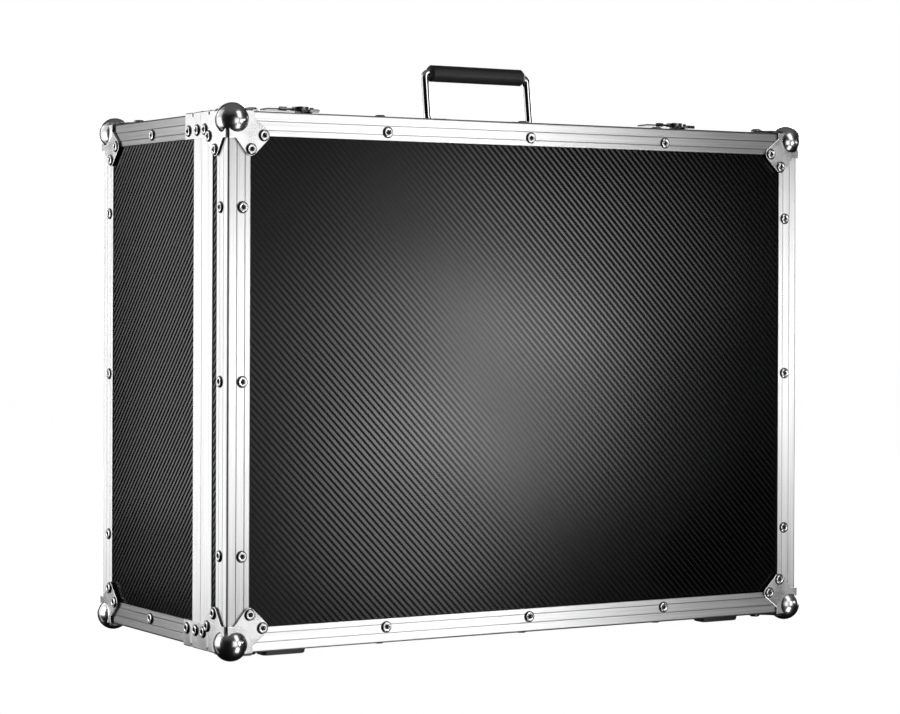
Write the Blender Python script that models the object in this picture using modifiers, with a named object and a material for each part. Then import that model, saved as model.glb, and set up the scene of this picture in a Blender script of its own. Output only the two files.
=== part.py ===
"""A small flight case, standing on its hinge side as it is carried and stored.

Black laminated panels are held in aluminium angles, with a steel ball corner on each corner.
The lid is the front fifty-odd millimetres of the case and swings on two hinges under the bottom
edge. Two twist latches and a wire bail handle are on the top. Metres, X along the case, Y from
the lid to the back, Z up. The origin is on the surface that the feet stand on, in the middle.
"""

import math

import bmesh
import bpy
from mathutils import Euler, Matrix, Vector

# Case over the aluminium angles
WIDTH = 0.632
DEPTH = 0.274
HEIGHT = 0.480
LID_DEPTH = 0.0534
FOOT_HEIGHT = 0.008

# Gaps
GAP = 0.0003
PARTING_GAP = 0.0003
RUNNING_GAP = 0.0003

# Panels
PANEL = 0.007
BODY_FOAM = 0.008
LID_FOAM = 0.010

# Aluminium angles
ANGLE_LEG = 0.022
ANGLE_WALL = 0.0015
ANGLE_RADIUS = 0.0018
GROOVE_PLACES = (0.0088, 0.0168)
GROOVE_WIDTH = 0.0007
GROOVE_DEPTH = 0.0003

# Closing frames of the lid and the body
LID_FLANGE = 0.0220
BODY_FLANGE = 0.0166
WEB = 0.0018
INNER_WALL = 0.0012
INNER_FLANGE = 0.0112
TONGUE_LENGTH = 0.004
TONGUE_ROOT = 0.002
TONGUE_TIP = 0.0012
TONGUE_INSET = 0.005
TONGUE_CLEARANCE = 0.0006

# Ball corners
BALL_RADIUS = 0.0151
BALL_INSET = 0.0073
BALL_SEGMENTS = 24
CORNER_PLATE = 0.0015
CORNER_REACH = 0.026
CORNER_STEP = 0.007
LOBE_RADIUS = 0.006
LOBE_FAR = 0.034
LOBE_NEAR = 0.0215

# Seam braces
BRACE_LEG = 0.0225
BRACE_PLATE = 0.0013
BRACE_LID_LENGTH = 0.0122
BRACE_BODY_LENGTH = 0.0318

# Handle
HANDLE_SETBACK = 0.094
HANDLE_PIVOT_RISE = 0.0024
HANDLE_SPAN = 0.1157
HANDLE_RISE = 0.0490
HANDLE_LEAN = math.radians(7.5)
WIRE_RADIUS = 0.0039
WIRE_TOP_BEND = 0.005
WIRE_FOOT_BEND = 0.006
WIRE_STUB = 0.024
GRIP_RADIUS = 0.0081
GRIP_LENGTH = 0.1066
GRIP_CHAMFER = 0.0028
GRIP_BORE_CLEARANCE = 0.0004
BASE_PLATE = 0.0012
BASE_LENGTH = 0.104
BASE_DEPTH = 0.044
SADDLE_LENGTH = 0.012
SADDLE_WALL = 0.0009
SADDLE_INSET = 0.0075

# Latches, in the latch's own frame: origin under the drum on the top faces, Y to the back
LATCH_PLATE_CENTRE = 0.104
DRUM_OFFSET = 0.004
DRUM_SETBACK = 0.070
LATCH_PLATE = 0.0015
LATCH_PLATE_WIDTH = 0.060
LATCH_PLATE_BACK = 0.026
LATCH_PLATE_EDGE = 0.0012
LATCH_CORNER = 0.005
DRUM_RADIUS = 0.0085
DRUM_TOP = 0.0106
DRUM_THICKNESS = 0.0039
DRUM_CHAMFER = 0.0006
HUB_RADIUS = 0.0053
NUB_RADIUS = 0.003
NUB_RISE = 0.0007
WING_AXIS_RISE = 0.0085
WING_PIN_RADIUS = 0.001
WING_KNUCKLE = 0.0019
WING_LEFT = 0.033
WING_RIGHT = 0.021
WING_LEFT_KNUCKLE = (0.0145, 0.022)
WING_RIGHT_KNUCKLE = (0.0096, 0.0135)
WING_PLATE = 0.0014
WING_BOTTOM = 0.0075
WING_START = 0.0015
WING_REACH = 0.024
WING_CORNER = 0.008
WING_CLEARANCE = 0.0007
HOOK_AXIS_AHEAD = 0.0077
HOOK_AXIS_RISE = 0.0044
HOOK_KNUCKLE = 0.0019
HOOK_PIN_RADIUS = 0.0008
HOOK_WIDTH = 0.009
HOOK_PLATE = 0.0015
HOOK_REACH = 0.0208
HOOK_LIP_DROP = 0.0016
HOOK_RAISED = math.radians(5.5)
EAR = 0.0015
EAR_CLEARANCE = 0.0004
KEEPER_WIDTH = 0.040
KEEPER_DEPTH = 0.022
KEEPER_EDGE = 0.0014
RIDGE_WIDTH = 0.014
RIDGE_THICKNESS = 0.002
RIDGE_RISE = 0.0015
RIDGE_CLEARANCE = 0.0017

# Hinges
HINGE_SETIN = 0.158
HINGE_LENGTH = 0.060
HINGE_AXIS_DROP = 0.0035
HINGE_BARREL = 0.003
HINGE_PIN = 0.0013
HINGE_LEAF = 0.0015
HINGE_LEAF_WIDTH = 0.022
HINGE_KNUCKLES = 3
HINGE_ROOT = 0.0006

# Feet
FOOT_CENTRE = 0.072
FOOT_SETBACK = 0.0365
FOOT_LENGTH = 0.045
FOOT_WIDTH = 0.020
FOOT_TAPER = 0.0015
FOOT_BEVEL = 0.001

# Faces and lines that follow from the sizes above
FRONT = -DEPTH / 2
BACK = DEPTH / 2
SIDE = WIDTH / 2
BOTTOM = FOOT_HEIGHT
TOP = FOOT_HEIGHT + HEIGHT
MIDDLE_Z = (BOTTOM + TOP) / 2
SEAM = FRONT + LID_DEPTH
SKIN = ANGLE_WALL + GAP
PANEL_INNER = SKIN + PANEL
LINING_OUTER = PANEL_INNER + GAP
CLOSING_INNER = LINING_OUTER + INNER_WALL
LID_END = SEAM - PARTING_GAP / 2
BODY_START = SEAM + PARTING_GAP / 2
BODY_FLANGE_END = BODY_START + BODY_FLANGE
LEFT_RIGHT = (("left", -1), ("right", 1))
BOTTOM_TOP = (("bottom", -1), ("top", 1))

# Looks: colour, metallic, roughness
FINISHES = {
    "laminate": ((0.018, 0.018, 0.020), 0.0, 0.38),
    "aluminium": ((0.80, 0.80, 0.80), 1.0, 0.30),
    "steel": ((0.55, 0.56, 0.57), 1.0, 0.22),
    "chrome": ((0.70, 0.71, 0.72), 1.0, 0.12),
    "rubber": ((0.020, 0.020, 0.020), 0.0, 0.70),
    "foam": ((0.050, 0.050, 0.055), 0.0, 0.95),
}


def clear_scene():
    """Removes whatever the file opened with."""
    for thing in list(bpy.data.objects):
        bpy.data.objects.remove(thing, do_unlink=True)


def new_collection(name):
    """Makes a collection in the scene."""
    collection = bpy.data.collections.new(name)
    bpy.context.scene.collection.children.link(collection)
    return collection


def finish_material(name):
    """Gives the named finish, made once."""
    material = bpy.data.materials.get(name)
    if material is None:
        colour, metallic, roughness = FINISHES[name]
        material = bpy.data.materials.new(name)
        material.use_nodes = True
        shader = material.node_tree.nodes["Principled BSDF"]
        shader.inputs["Base Color"].default_value = (*colour, 1.0)
        shader.inputs["Metallic"].default_value = metallic
        shader.inputs["Roughness"].default_value = roughness
    return material


def axes(origin, a, b, c):
    """Matrix that takes (a, b, c) coordinates along the three directions to the world."""
    matrix = Matrix((a, b, c)).transposed().to_4x4()
    matrix.translation = Vector(origin)
    return matrix


def finished_mesh(bm, matrix=None):
    """Turns a bmesh into a mesh with its faces pointing out."""
    if matrix is not None:
        bmesh.ops.transform(bm, matrix=matrix, verts=bm.verts)
    bmesh.ops.recalc_face_normals(bm, faces=bm.faces)
    mesh = bpy.data.meshes.new("solid")
    bm.to_mesh(mesh)
    bm.free()
    return mesh


def box_mesh(low, high):
    """A box between two corners."""
    low = Vector(low)
    high = Vector(high)
    bm = bmesh.new()
    size = Matrix.Diagonal((*(high - low), 1.0))
    bmesh.ops.create_cube(bm, size=1.0, matrix=Matrix.Translation((low + high) / 2) @ size)
    return finished_mesh(bm)


def rod_mesh(start, end, radius, sides=24):
    """A round rod between two points."""
    start = Vector(start)
    run = Vector(end) - start
    bm = bmesh.new()
    turn = run.to_track_quat("Z", "Y").to_matrix().to_4x4()
    bmesh.ops.create_cone(bm, cap_ends=True, segments=sides, radius1=radius, radius2=radius,
                          depth=run.length, matrix=Matrix.Translation(start + run / 2) @ turn)
    return finished_mesh(bm)


def prism_mesh(outline, length, matrix, mitre_start=0.0, mitre_end=0.0):
    """An outline drawn in (a, b) and pulled along c; a mitre draws an end in by its a."""
    bm = bmesh.new()
    verts = [bm.verts.new((a, b, mitre_start * a)) for a, b in outline]
    face = bm.faces.new(verts)
    pulled = bmesh.ops.extrude_face_region(bm, geom=[face])["geom"]
    for vert in pulled:
        if isinstance(vert, bmesh.types.BMVert):
            a = vert.co.x
            vert.co.z = length - mitre_end * a
    return finished_mesh(bm, matrix)


def ring_mesh(profile):
    """A mitred frame round the case from a profile of (inset, Y) points."""
    bm = bmesh.new()
    loops = []
    for side_x, side_z in ((-1, -1), (1, -1), (1, 1), (-1, 1)):
        loop = []
        for inset, y in profile:
            x = side_x * (SIDE - inset)
            z = MIDDLE_Z + side_z * (HEIGHT / 2 - inset)
            loop.append(bm.verts.new((x, y, z)))
        loops.append(loop)
    for corner, loop in enumerate(loops):
        following = loops[(corner + 1) % len(loops)]
        for i in range(len(profile)):
            j = (i + 1) % len(profile)
            bm.faces.new((loop[i], loop[j], following[j], following[i]))
    return finished_mesh(bm)


def arc(centre, radius, start, end, steps):
    """Points along an arc; angles in degrees."""
    points = []
    for i in range(steps + 1):
        angle = math.radians(start + (end - start) * i / steps)
        points.append((centre[0] + radius * math.cos(angle), centre[1] + radius * math.sin(angle)))
    return points


def rounded_outline(low, high, radius, steps=4):
    """A rectangle with four round corners."""
    points = []
    points += arc((high[0] - radius, high[1] - radius), radius, 0, 90, steps)
    points += arc((low[0] + radius, high[1] - radius), radius, 90, 180, steps)
    points += arc((low[0] + radius, low[1] + radius), radius, 180, 270, steps)
    points += arc((high[0] - radius, low[1] + radius), radius, 270, 360, steps)
    return points


class Builder:
    """Keeps the collections and makes the case's objects in them."""

    def __init__(self):
        self.parts = new_collection("flight_case")
        self.cutters = new_collection("cutters")

    def add(self, name, mesh, finish, parent=None, location=(0, 0, 0), rotation=(0, 0, 0), smooth=False):
        """Makes one part, which may ride on an empty."""
        thing = bpy.data.objects.new(name, mesh)
        self.parts.objects.link(thing)
        thing.location = location
        thing.rotation_euler = rotation
        if not mesh.materials:
            mesh.materials.append(finish_material(finish))
        if smooth:
            mesh.shade_smooth()
            mesh.set_sharp_from_angle(angle=math.radians(35))
        self.attach(thing, parent)
        return thing

    def attach(self, thing, parent):
        """Parents a part to an empty without moving it."""
        if parent is not None:
            thing.parent = parent
            thing.matrix_parent_inverse = parent.matrix_basis.inverted()

    def pivot(self, name, location):
        """An empty on a joint's axis."""
        empty = bpy.data.objects.new(name, None)
        empty.location = location
        empty.empty_display_size = 0.02
        self.parts.objects.link(empty)
        return empty

    def tool(self, mesh):
        """A shape that only cuts or joins."""
        thing = bpy.data.objects.new("tool", mesh)
        thing.display_type = "WIRE"
        thing.hide_render = True
        self.cutters.objects.link(thing)
        return thing

    def combine(self, mesh, steps):
        """Unites tools with a mesh, or cuts them out of it, and gives the mesh that results."""
        base = self.tool(mesh)
        for operation, other in steps:
            modifier = base.modifiers.new(operation.lower(), "BOOLEAN")
            modifier.operation = operation
            modifier.solver = "EXACT"
            modifier.object = self.tool(other)
        bpy.context.view_layer.update()
        graph = bpy.context.evaluated_depsgraph_get()
        result = bpy.data.meshes.new_from_object(base.evaluated_get(graph))
        bm = bmesh.new()
        bm.from_mesh(result)
        bmesh.ops.dissolve_degenerate(bm, dist=0.000001, edges=bm.edges)
        bm.to_mesh(result)
        bm.free()
        result.materials.clear()
        return result

    def turned_mesh(self, profile, matrix, sides=32, closed=False):
        """Turns a profile of (radius, height) points, top to bottom, round an axis."""
        bm = bmesh.new()
        verts = [bm.verts.new((radius, 0.0, height)) for radius, height in profile]
        for first, second in zip(verts, verts[1:]):
            bm.edges.new((first, second))
        if closed:
            bm.edges.new((verts[-1], verts[0]))
        mesh = bpy.data.meshes.new("profile")
        bm.to_mesh(mesh)
        bm.free()
        thing = self.tool(mesh)
        screw = thing.modifiers.new("turn", "SCREW")
        screw.axis = "Z"
        screw.steps = sides
        screw.render_steps = sides
        screw.use_merge_vertices = True
        screw.merge_threshold = 0.00001
        bpy.context.view_layer.update()
        graph = bpy.context.evaluated_depsgraph_get()
        result = bpy.data.meshes.new_from_object(thing.evaluated_get(graph))
        result.transform(matrix)
        return result


def angle_profile():
    """Outline of the grooved aluminium angle; both legs start at the outer corner."""
    along = [(ANGLE_LEG, 0.0)]
    for place in reversed(GROOVE_PLACES):
        for shift, depth in ((0.5, 0), (0.25, GROOVE_DEPTH), (-0.25, GROOVE_DEPTH), (-0.5, 0)):
            along.append((place + shift * GROOVE_WIDTH, depth))
    corner = arc((ANGLE_RADIUS, ANGLE_RADIUS), ANGLE_RADIUS, 270, 180, 4)
    mirrored = [(b, a) for a, b in reversed(along)]
    inside = [(ANGLE_WALL, ANGLE_LEG), (ANGLE_WALL, ANGLE_WALL), (ANGLE_LEG, ANGLE_WALL)]
    return along + corner + mirrored + inside


def rectangle_sides():
    """The four sides of the case seen from the front: name, start, direction, inward."""
    return (
        ("bottom", (-SIDE, BOTTOM), (1, 0), (0, 1), WIDTH),
        ("right", (SIDE, BOTTOM), (0, 1), (-1, 0), HEIGHT),
        ("top", (SIDE, TOP), (-1, 0), (0, -1), WIDTH),
        ("left", (-SIDE, TOP), (0, -1), (1, 0), HEIGHT),
    )


def build_angle_frame(builder, prefix, face_y, inward_y, parent):
    """Four mitred angles round the front or the back face."""
    for side, start, along, inward, length in rectangle_sides():
        direction = Vector((along[0], 0, along[1]))
        origin = Vector((start[0], face_y, start[1])) + direction * GAP / 2
        matrix = axes(origin, (inward[0], 0, inward[1]), (0, inward_y, 0), direction)
        mesh = prism_mesh(angle_profile(), length - GAP, matrix, 1.0, 1.0)
        builder.add(f"{prefix}_angle_{side}", mesh, "aluminium", parent)


def build_edge_angles(builder):
    """Angles along the four depth edges of the body, from the closing frame to the back frame."""
    start_y = BODY_FLANGE_END + GAP
    length = BACK - ANGLE_LEG - GAP - start_y
    for side, side_x in LEFT_RIGHT:
        for level, side_z in BOTTOM_TOP:
            origin = (side_x * SIDE, start_y, MIDDLE_Z + side_z * HEIGHT / 2)
            matrix = axes(origin, (-side_x, 0, 0), (0, 0, -side_z), (0, 1, 0))
            mesh = prism_mesh(angle_profile(), length, matrix)
            builder.add(f"edge_angle_{level}_{side}", mesh, "aluminium")


def build_body_panels(builder):
    """Five laminated panels of the body."""
    x = SIDE - SKIN
    low = BOTTOM + SKIN
    high = TOP - SKIN
    back = BACK - SKIN
    front = BODY_START + WEB + GAP
    inner_back = back - PANEL - GAP
    builder.add("body_back_panel", box_mesh((-x, back - PANEL, low), (x, back, high)), "laminate")
    builder.add("body_bottom_panel", box_mesh((-x, front, low), (x, inner_back, low + PANEL)), "laminate")
    builder.add("body_top_panel", box_mesh((-x, front, high - PANEL), (x, inner_back, high)), "laminate")
    inner_low = low + PANEL + GAP
    inner_high = high - PANEL - GAP
    for side, side_x in LEFT_RIGHT:
        inner, outer = sorted((side_x * (x - PANEL), side_x * x))
        mesh = box_mesh((inner, front, inner_low), (outer, inner_back, inner_high))
        builder.add(f"body_{side}_panel", mesh, "laminate")


def build_lid_panels(builder, parent):
    """The lid's front panel and the frame of its four side walls."""
    x = SIDE - SKIN
    front = FRONT + SKIN
    mesh = box_mesh((-x, front, BOTTOM + SKIN), (x, front + PANEL, TOP - SKIN))
    builder.add("lid_panel", mesh, "laminate", parent)
    start = front + PANEL + GAP
    end = LID_END - TONGUE_LENGTH - TONGUE_CLEARANCE - PARTING_GAP - WEB - GAP
    profile = [(SKIN, start), (PANEL_INNER, start), (PANEL_INNER, end), (SKIN, end)]
    builder.add("lid_wall_frame", ring_mesh(profile), "laminate", parent)


def build_closing_frames(builder, lid):
    """The body's frame has a tongue all round, which enters a groove in the lid's frame."""
    half_root = TONGUE_ROOT / 2
    half_tip = TONGUE_TIP / 2
    tip = BODY_START - TONGUE_LENGTH
    body_web = BODY_START + WEB
    body = [
        (0, BODY_START),
        (TONGUE_INSET - half_root, BODY_START),
        (TONGUE_INSET - half_tip, tip),
        (TONGUE_INSET + half_tip, tip),
        (TONGUE_INSET + half_root, BODY_START),
        (CLOSING_INNER, BODY_START),
        (CLOSING_INNER, BODY_FLANGE_END),
        (LINING_OUTER, BODY_FLANGE_END),
        (LINING_OUTER, body_web),
        (ANGLE_WALL, body_web),
        (ANGLE_WALL, BODY_FLANGE_END),
        (0, BODY_FLANGE_END),
    ]
    builder.add("body_closing_frame", ring_mesh(body), "aluminium")
    groove_end = LID_END - TONGUE_LENGTH - TONGUE_CLEARANCE - PARTING_GAP
    lid_web = groove_end - WEB
    flange_start = LID_END - LID_FLANGE
    inner_start = lid_web - INNER_FLANGE
    near = TONGUE_INSET - half_root - TONGUE_CLEARANCE
    far = TONGUE_INSET + half_root + TONGUE_CLEARANCE
    cover = [
        (0, flange_start),
        (ANGLE_WALL, flange_start),
        (ANGLE_WALL, lid_web),
        (LINING_OUTER, lid_web),
        (LINING_OUTER, inner_start),
        (CLOSING_INNER, inner_start),
        (CLOSING_INNER, LID_END),
        (far, LID_END),
        (far, groove_end),
        (near, groove_end),
        (near, LID_END),
        (0, LID_END),
    ]
    builder.add("lid_closing_frame", ring_mesh(cover), "aluminium", lid)


def tangent_angle(point, centre, radius, turn):
    """Angle, in degrees, at which a line from a point touches a circle."""
    dx = point[0] - centre[0]
    dy = point[1] - centre[1]
    towards = math.degrees(math.atan2(dy, dx))
    return towards + turn * math.degrees(math.acos(radius / math.hypot(dx, dy)))


def corner_plate_outline():
    """One plate of a ball corner, drawn from the case's corner, with a lobe round each rivet."""
    step = (CORNER_REACH, CORNER_STEP)
    lobe = (LOBE_FAR, LOBE_NEAR)
    start = tangent_angle(step, lobe, LOBE_RADIUS, 1)
    half = [(CORNER_REACH, 0.0), step] + arc(lobe, LOBE_RADIUS, start, 45, 4)
    return [(0.0, 0.0)] + half + [(b, a) for a, b in reversed(half)]


def ball_corner_mesh(builder):
    """A ball over a corner at the origin, the case being towards -X, -Y and -Z."""
    bm = bmesh.new()
    centre = Matrix.Translation((-BALL_INSET, -BALL_INSET, -BALL_INSET))
    bmesh.ops.create_uvsphere(bm, u_segments=BALL_SEGMENTS, v_segments=BALL_SEGMENTS // 2,
                              radius=BALL_RADIUS, matrix=centre)
    depth = CORNER_PLATE + 2 * GAP
    outline = corner_plate_outline()
    steps = []
    for a, b, c in (((0, -1, 0), (0, 0, -1), (1, 0, 0)),
                    ((0, 0, -1), (-1, 0, 0), (0, 1, 0)),
                    ((-1, 0, 0), (0, -1, 0), (0, 0, 1))):
        origin = Vector(c) * (GAP + CORNER_PLATE - depth)
        steps.append(("UNION", prism_mesh(outline, depth, axes(origin, a, b, c))))
    reach = 2 * LOBE_FAR
    steps.append(("DIFFERENCE", box_mesh((-reach, -reach, -reach), (GAP, GAP, GAP))))
    return builder.combine(finished_mesh(bm), steps)


def corner_turn(side_x, side_y, side_z):
    """Turns the corner piece, made for +X +Y +Z, to another corner of the case."""
    if side_z > 0:
        about_z = {(1, 1): 0, (-1, 1): 90, (-1, -1): 180, (1, -1): 270}[(side_x, side_y)]
        return Euler((0, 0, math.radians(about_z)))
    about_z = {(1, -1): 0, (1, 1): 90, (-1, 1): 180, (-1, -1): 270}[(side_x, side_y)]
    return Euler((math.pi, 0, math.radians(about_z)))


def build_ball_corners(builder, lid):
    """Eight equal ball corners."""
    mesh = ball_corner_mesh(builder)
    for shell, side_y, parent in (("lid", -1, lid), ("body", 1, None)):
        for side, side_x in LEFT_RIGHT:
            for level, side_z in BOTTOM_TOP:
                place = (side_x * SIDE, side_y * DEPTH / 2, MIDDLE_Z + side_z * HEIGHT / 2)
                turn = corner_turn(side_x, side_y, side_z)
                name = f"{shell}_ball_corner_{level}_{side}"
                builder.add(name, mesh, "steel", parent, place, turn, smooth=True)


def brace_profile():
    """Outline of a brace bent round a depth edge, drawn from that edge."""
    outer = -GAP - BRACE_PLATE
    radius = GAP + BRACE_PLATE
    bend = arc((0.0, 0.0), radius, 270, 180, 4)
    return [(BRACE_LEG, outer)] + bend + [(outer, BRACE_LEG), (-GAP, BRACE_LEG), (-GAP, -GAP), (BRACE_LEG, -GAP)]


def build_braces(builder, lid):
    """A brace on each depth edge of the lid and of the body, which meet at the parting line."""
    runs = (
        ("lid", LID_END - BRACE_LID_LENGTH, BRACE_LID_LENGTH, lid),
        ("body", BODY_START, BRACE_BODY_LENGTH, None),
    )
    for shell, start, length, parent in runs:
        for side, side_x in LEFT_RIGHT:
            for level, side_z in BOTTOM_TOP:
                origin = (side_x * SIDE, start, MIDDLE_Z + side_z * HEIGHT / 2)
                matrix = axes(origin, (-side_x, 0, 0), (0, 0, -side_z), (0, 1, 0))
                mesh = prism_mesh(brace_profile(), length, matrix)
                builder.add(f"{shell}_brace_{level}_{side}", mesh, "steel", parent)


def build_linings(builder, lid):
    """Foam inside the body on five sides, and a pad behind the lid's panel."""
    x = SIDE - LINING_OUTER
    low = BOTTOM + LINING_OUTER
    high = TOP - LINING_OUTER
    front = BODY_FLANGE_END + GAP
    back = BACK - LINING_OUTER
    outer = box_mesh((-x, front, low), (x, back, high))
    hollow = box_mesh((-x + BODY_FOAM, front - BODY_FOAM, low + BODY_FOAM),
                      (x - BODY_FOAM, back - BODY_FOAM, high - BODY_FOAM))
    builder.add("body_foam_lining", builder.combine(outer, [("DIFFERENCE", hollow)]), "foam")
    start = FRONT + LINING_OUTER
    pad = box_mesh((-x, start, low), (x, start + LID_FOAM, high))
    builder.add("lid_foam_pad", pad, "foam", lid)


def arch_outline(inner, wall, drop):
    """An arch over the X axis, open below, drawn in (Y, Z)."""
    outer = inner + wall
    points = [(outer, -drop)] + arc((0, 0), outer, 0, 180, 12) + [(-outer, -drop), (-inner, -drop)]
    return points + arc((0, 0), inner, 180, 0, 12) + [(inner, -drop)]


def build_handle(builder):
    """The base with its two saddles, and the sprung wire bail with its rubber grip."""
    y = FRONT + HANDLE_SETBACK
    z = TOP + HANDLE_PIVOT_RISE
    pivot = builder.pivot("handle_pivot", (0, y, z))
    plate_low = TOP - SKIN + GAP - z
    plate_high = plate_low + BASE_PLATE
    half = BASE_LENGTH / 2
    outline = rounded_outline((-half, -BASE_DEPTH / 2), (half, BASE_DEPTH / 2), 2 * WIRE_RADIUS)
    plate = prism_mesh(outline, BASE_PLATE, axes((0, 0, plate_low), (1, 0, 0), (0, 1, 0), (0, 0, 1)))
    bore = WIRE_RADIUS + RUNNING_GAP
    stub_end = HANDLE_SPAN / 2 - WIRE_STUB
    saddle_end = HANDLE_SPAN / 2 - SADDLE_INSET
    steps = []
    for side_x in (-1, 1):
        near, far = sorted((side_x * (saddle_end - SADDLE_LENGTH), side_x * saddle_end))
        matrix = axes((near, 0, 0), (0, 1, 0), (0, 0, 1), (1, 0, 0))
        arch = prism_mesh(arch_outline(bore, SADDLE_WALL, (z - TOP) + GAP * 2), far - near, matrix)
        steps.append(("UNION", arch))
    for side_x in (-1, 1):
        near, far = sorted((side_x * (stub_end - GAP * 3), side_x * (half + BASE_PLATE)))
        slot = box_mesh((near, -bore, plate_low - BASE_PLATE), (far, bore, plate_high + GAP))
        steps.append(("DIFFERENCE", slot))
    base = builder.combine(plate, steps)
    builder.add("handle_base", base, "steel", None, (0, y, z), smooth=True)
    lean = (-HANDLE_LEAN, 0, 0)
    builder.add("handle_bail", bail_mesh(builder), "chrome", pivot, (0, y, z), lean, smooth=True)
    bore = WIRE_RADIUS + GRIP_BORE_CLEARANCE
    half = GRIP_LENGTH / 2
    rim = GRIP_RADIUS - GRIP_CHAMFER
    profile = [(bore, half), (rim, half), (GRIP_RADIUS, half - GRIP_CHAMFER),
               (GRIP_RADIUS, -half + GRIP_CHAMFER), (rim, -half), (bore, -half)]
    matrix = axes((0, 0, HANDLE_RISE), (0, 1, 0), (0, 0, 1), (1, 0, 0))
    grip = builder.turned_mesh(profile, matrix, closed=True)
    builder.add("handle_grip", grip, "rubber", pivot, (0, y, z), lean, smooth=True)


def bail_mesh(builder):
    """The bent wire: two stubs in the saddles, two legs and the run inside the grip."""
    half = HANDLE_SPAN / 2
    foot = WIRE_FOOT_BEND
    top = WIRE_TOP_BEND
    right = [(half - WIRE_STUB, 0.0)]
    right += arc((half - foot, foot), foot, 270, 360, 6)
    right += arc((half - top, HANDLE_RISE - top), top, 0, 90, 6)
    left = [(-x, z) for x, z in reversed(right)]
    points = right + left
    curve = bpy.data.curves.new("wire", "CURVE")
    curve.dimensions = "3D"
    curve.bevel_depth = WIRE_RADIUS
    curve.bevel_resolution = 4
    curve.use_fill_caps = True
    spline = curve.splines.new("POLY")
    spline.points.add(len(points) - 1)
    for place, (x, z) in zip(spline.points, points):
        place.co = (x, 0.0, z, 1.0)
    thing = builder.tool(curve)
    bpy.context.view_layer.update()
    graph = bpy.context.evaluated_depsgraph_get()
    mesh = bpy.data.meshes.new_from_object(thing.evaluated_get(graph))
    bpy.data.objects.remove(thing, do_unlink=True)
    bm = bmesh.new()
    bm.from_mesh(mesh)
    bmesh.ops.remove_doubles(bm, verts=bm.verts, dist=0.00001)
    mesh.materials.clear()
    return finished_mesh(bm)


def latch_places():
    """Each latch's name and the place of its frame."""
    y = FRONT + DRUM_SETBACK
    for side, side_x in LEFT_RIGHT:
        yield side, Vector((side_x * (SIDE - LATCH_PLATE_CENTRE) + DRUM_OFFSET, y, TOP))


def latch_base_mesh(builder):
    """Base plate with a pad down to the panel, and two ears and a pin for the hook."""
    left = -DRUM_OFFSET - LATCH_PLATE_WIDTH / 2
    right = -DRUM_OFFSET + LATCH_PLATE_WIDTH / 2
    front = BODY_START - FRONT - DRUM_SETBACK + LATCH_PLATE_EDGE
    outline = rounded_outline((left, front), (right, LATCH_PLATE_BACK), LATCH_CORNER)
    plate = prism_mesh(outline, LATCH_PLATE, axes((0, 0, GAP), (1, 0, 0), (0, 1, 0), (0, 0, 1)))
    pad_front = BODY_FLANGE_END - FRONT - DRUM_SETBACK + 2 * GAP
    inset = LATCH_CORNER
    pad = box_mesh((left + inset, pad_front, GAP - SKIN),
                   (right - inset, LATCH_PLATE_BACK - inset, GAP + LATCH_PLATE / 2))
    steps = [("UNION", pad)]
    ear_start = HOOK_WIDTH / 2 + EAR_CLEARANCE
    axis = (-HOOK_AXIS_AHEAD, HOOK_AXIS_RISE)
    drop = GAP + LATCH_PLATE / 2
    outline = [(axis[0] + HOOK_KNUCKLE, drop)] + arc(axis, HOOK_KNUCKLE, 0, 180, 10)
    outline.append((axis[0] - HOOK_KNUCKLE, drop))
    for start in (ear_start, -ear_start - EAR):
        matrix = axes((start, 0, 0), (0, 1, 0), (0, 0, 1), (1, 0, 0))
        steps.append(("UNION", prism_mesh(outline, EAR, matrix)))
    reach = ear_start + EAR / 2
    pin = rod_mesh((-reach, *axis), (reach, *axis), HOOK_PIN_RADIUS, 12)
    steps.append(("UNION", pin))
    return builder.combine(plate, steps)


def latch_rotor_mesh(builder):
    """The drum on its hub, with the pin that carries the wing."""
    floor = GAP + LATCH_PLATE + RUNNING_GAP
    disc_low = DRUM_TOP - DRUM_THICKNESS
    profile = [
        (0, DRUM_TOP + NUB_RISE),
        (NUB_RADIUS, DRUM_TOP + NUB_RISE),
        (NUB_RADIUS, DRUM_TOP),
        (DRUM_RADIUS - DRUM_CHAMFER, DRUM_TOP),
        (DRUM_RADIUS, DRUM_TOP - DRUM_CHAMFER),
        (DRUM_RADIUS, disc_low),
        (HUB_RADIUS, disc_low),
        (HUB_RADIUS, floor),
        (0, floor),
    ]
    drum = builder.turned_mesh(profile, Matrix.Identity(4))
    pin = rod_mesh((-WING_LEFT_KNUCKLE[1], 0, WING_AXIS_RISE), (WING_RIGHT_KNUCKLE[1], 0, WING_AXIS_RISE),
                   WING_PIN_RADIUS, 12)
    return builder.combine(drum, [("UNION", pin)])


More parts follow.
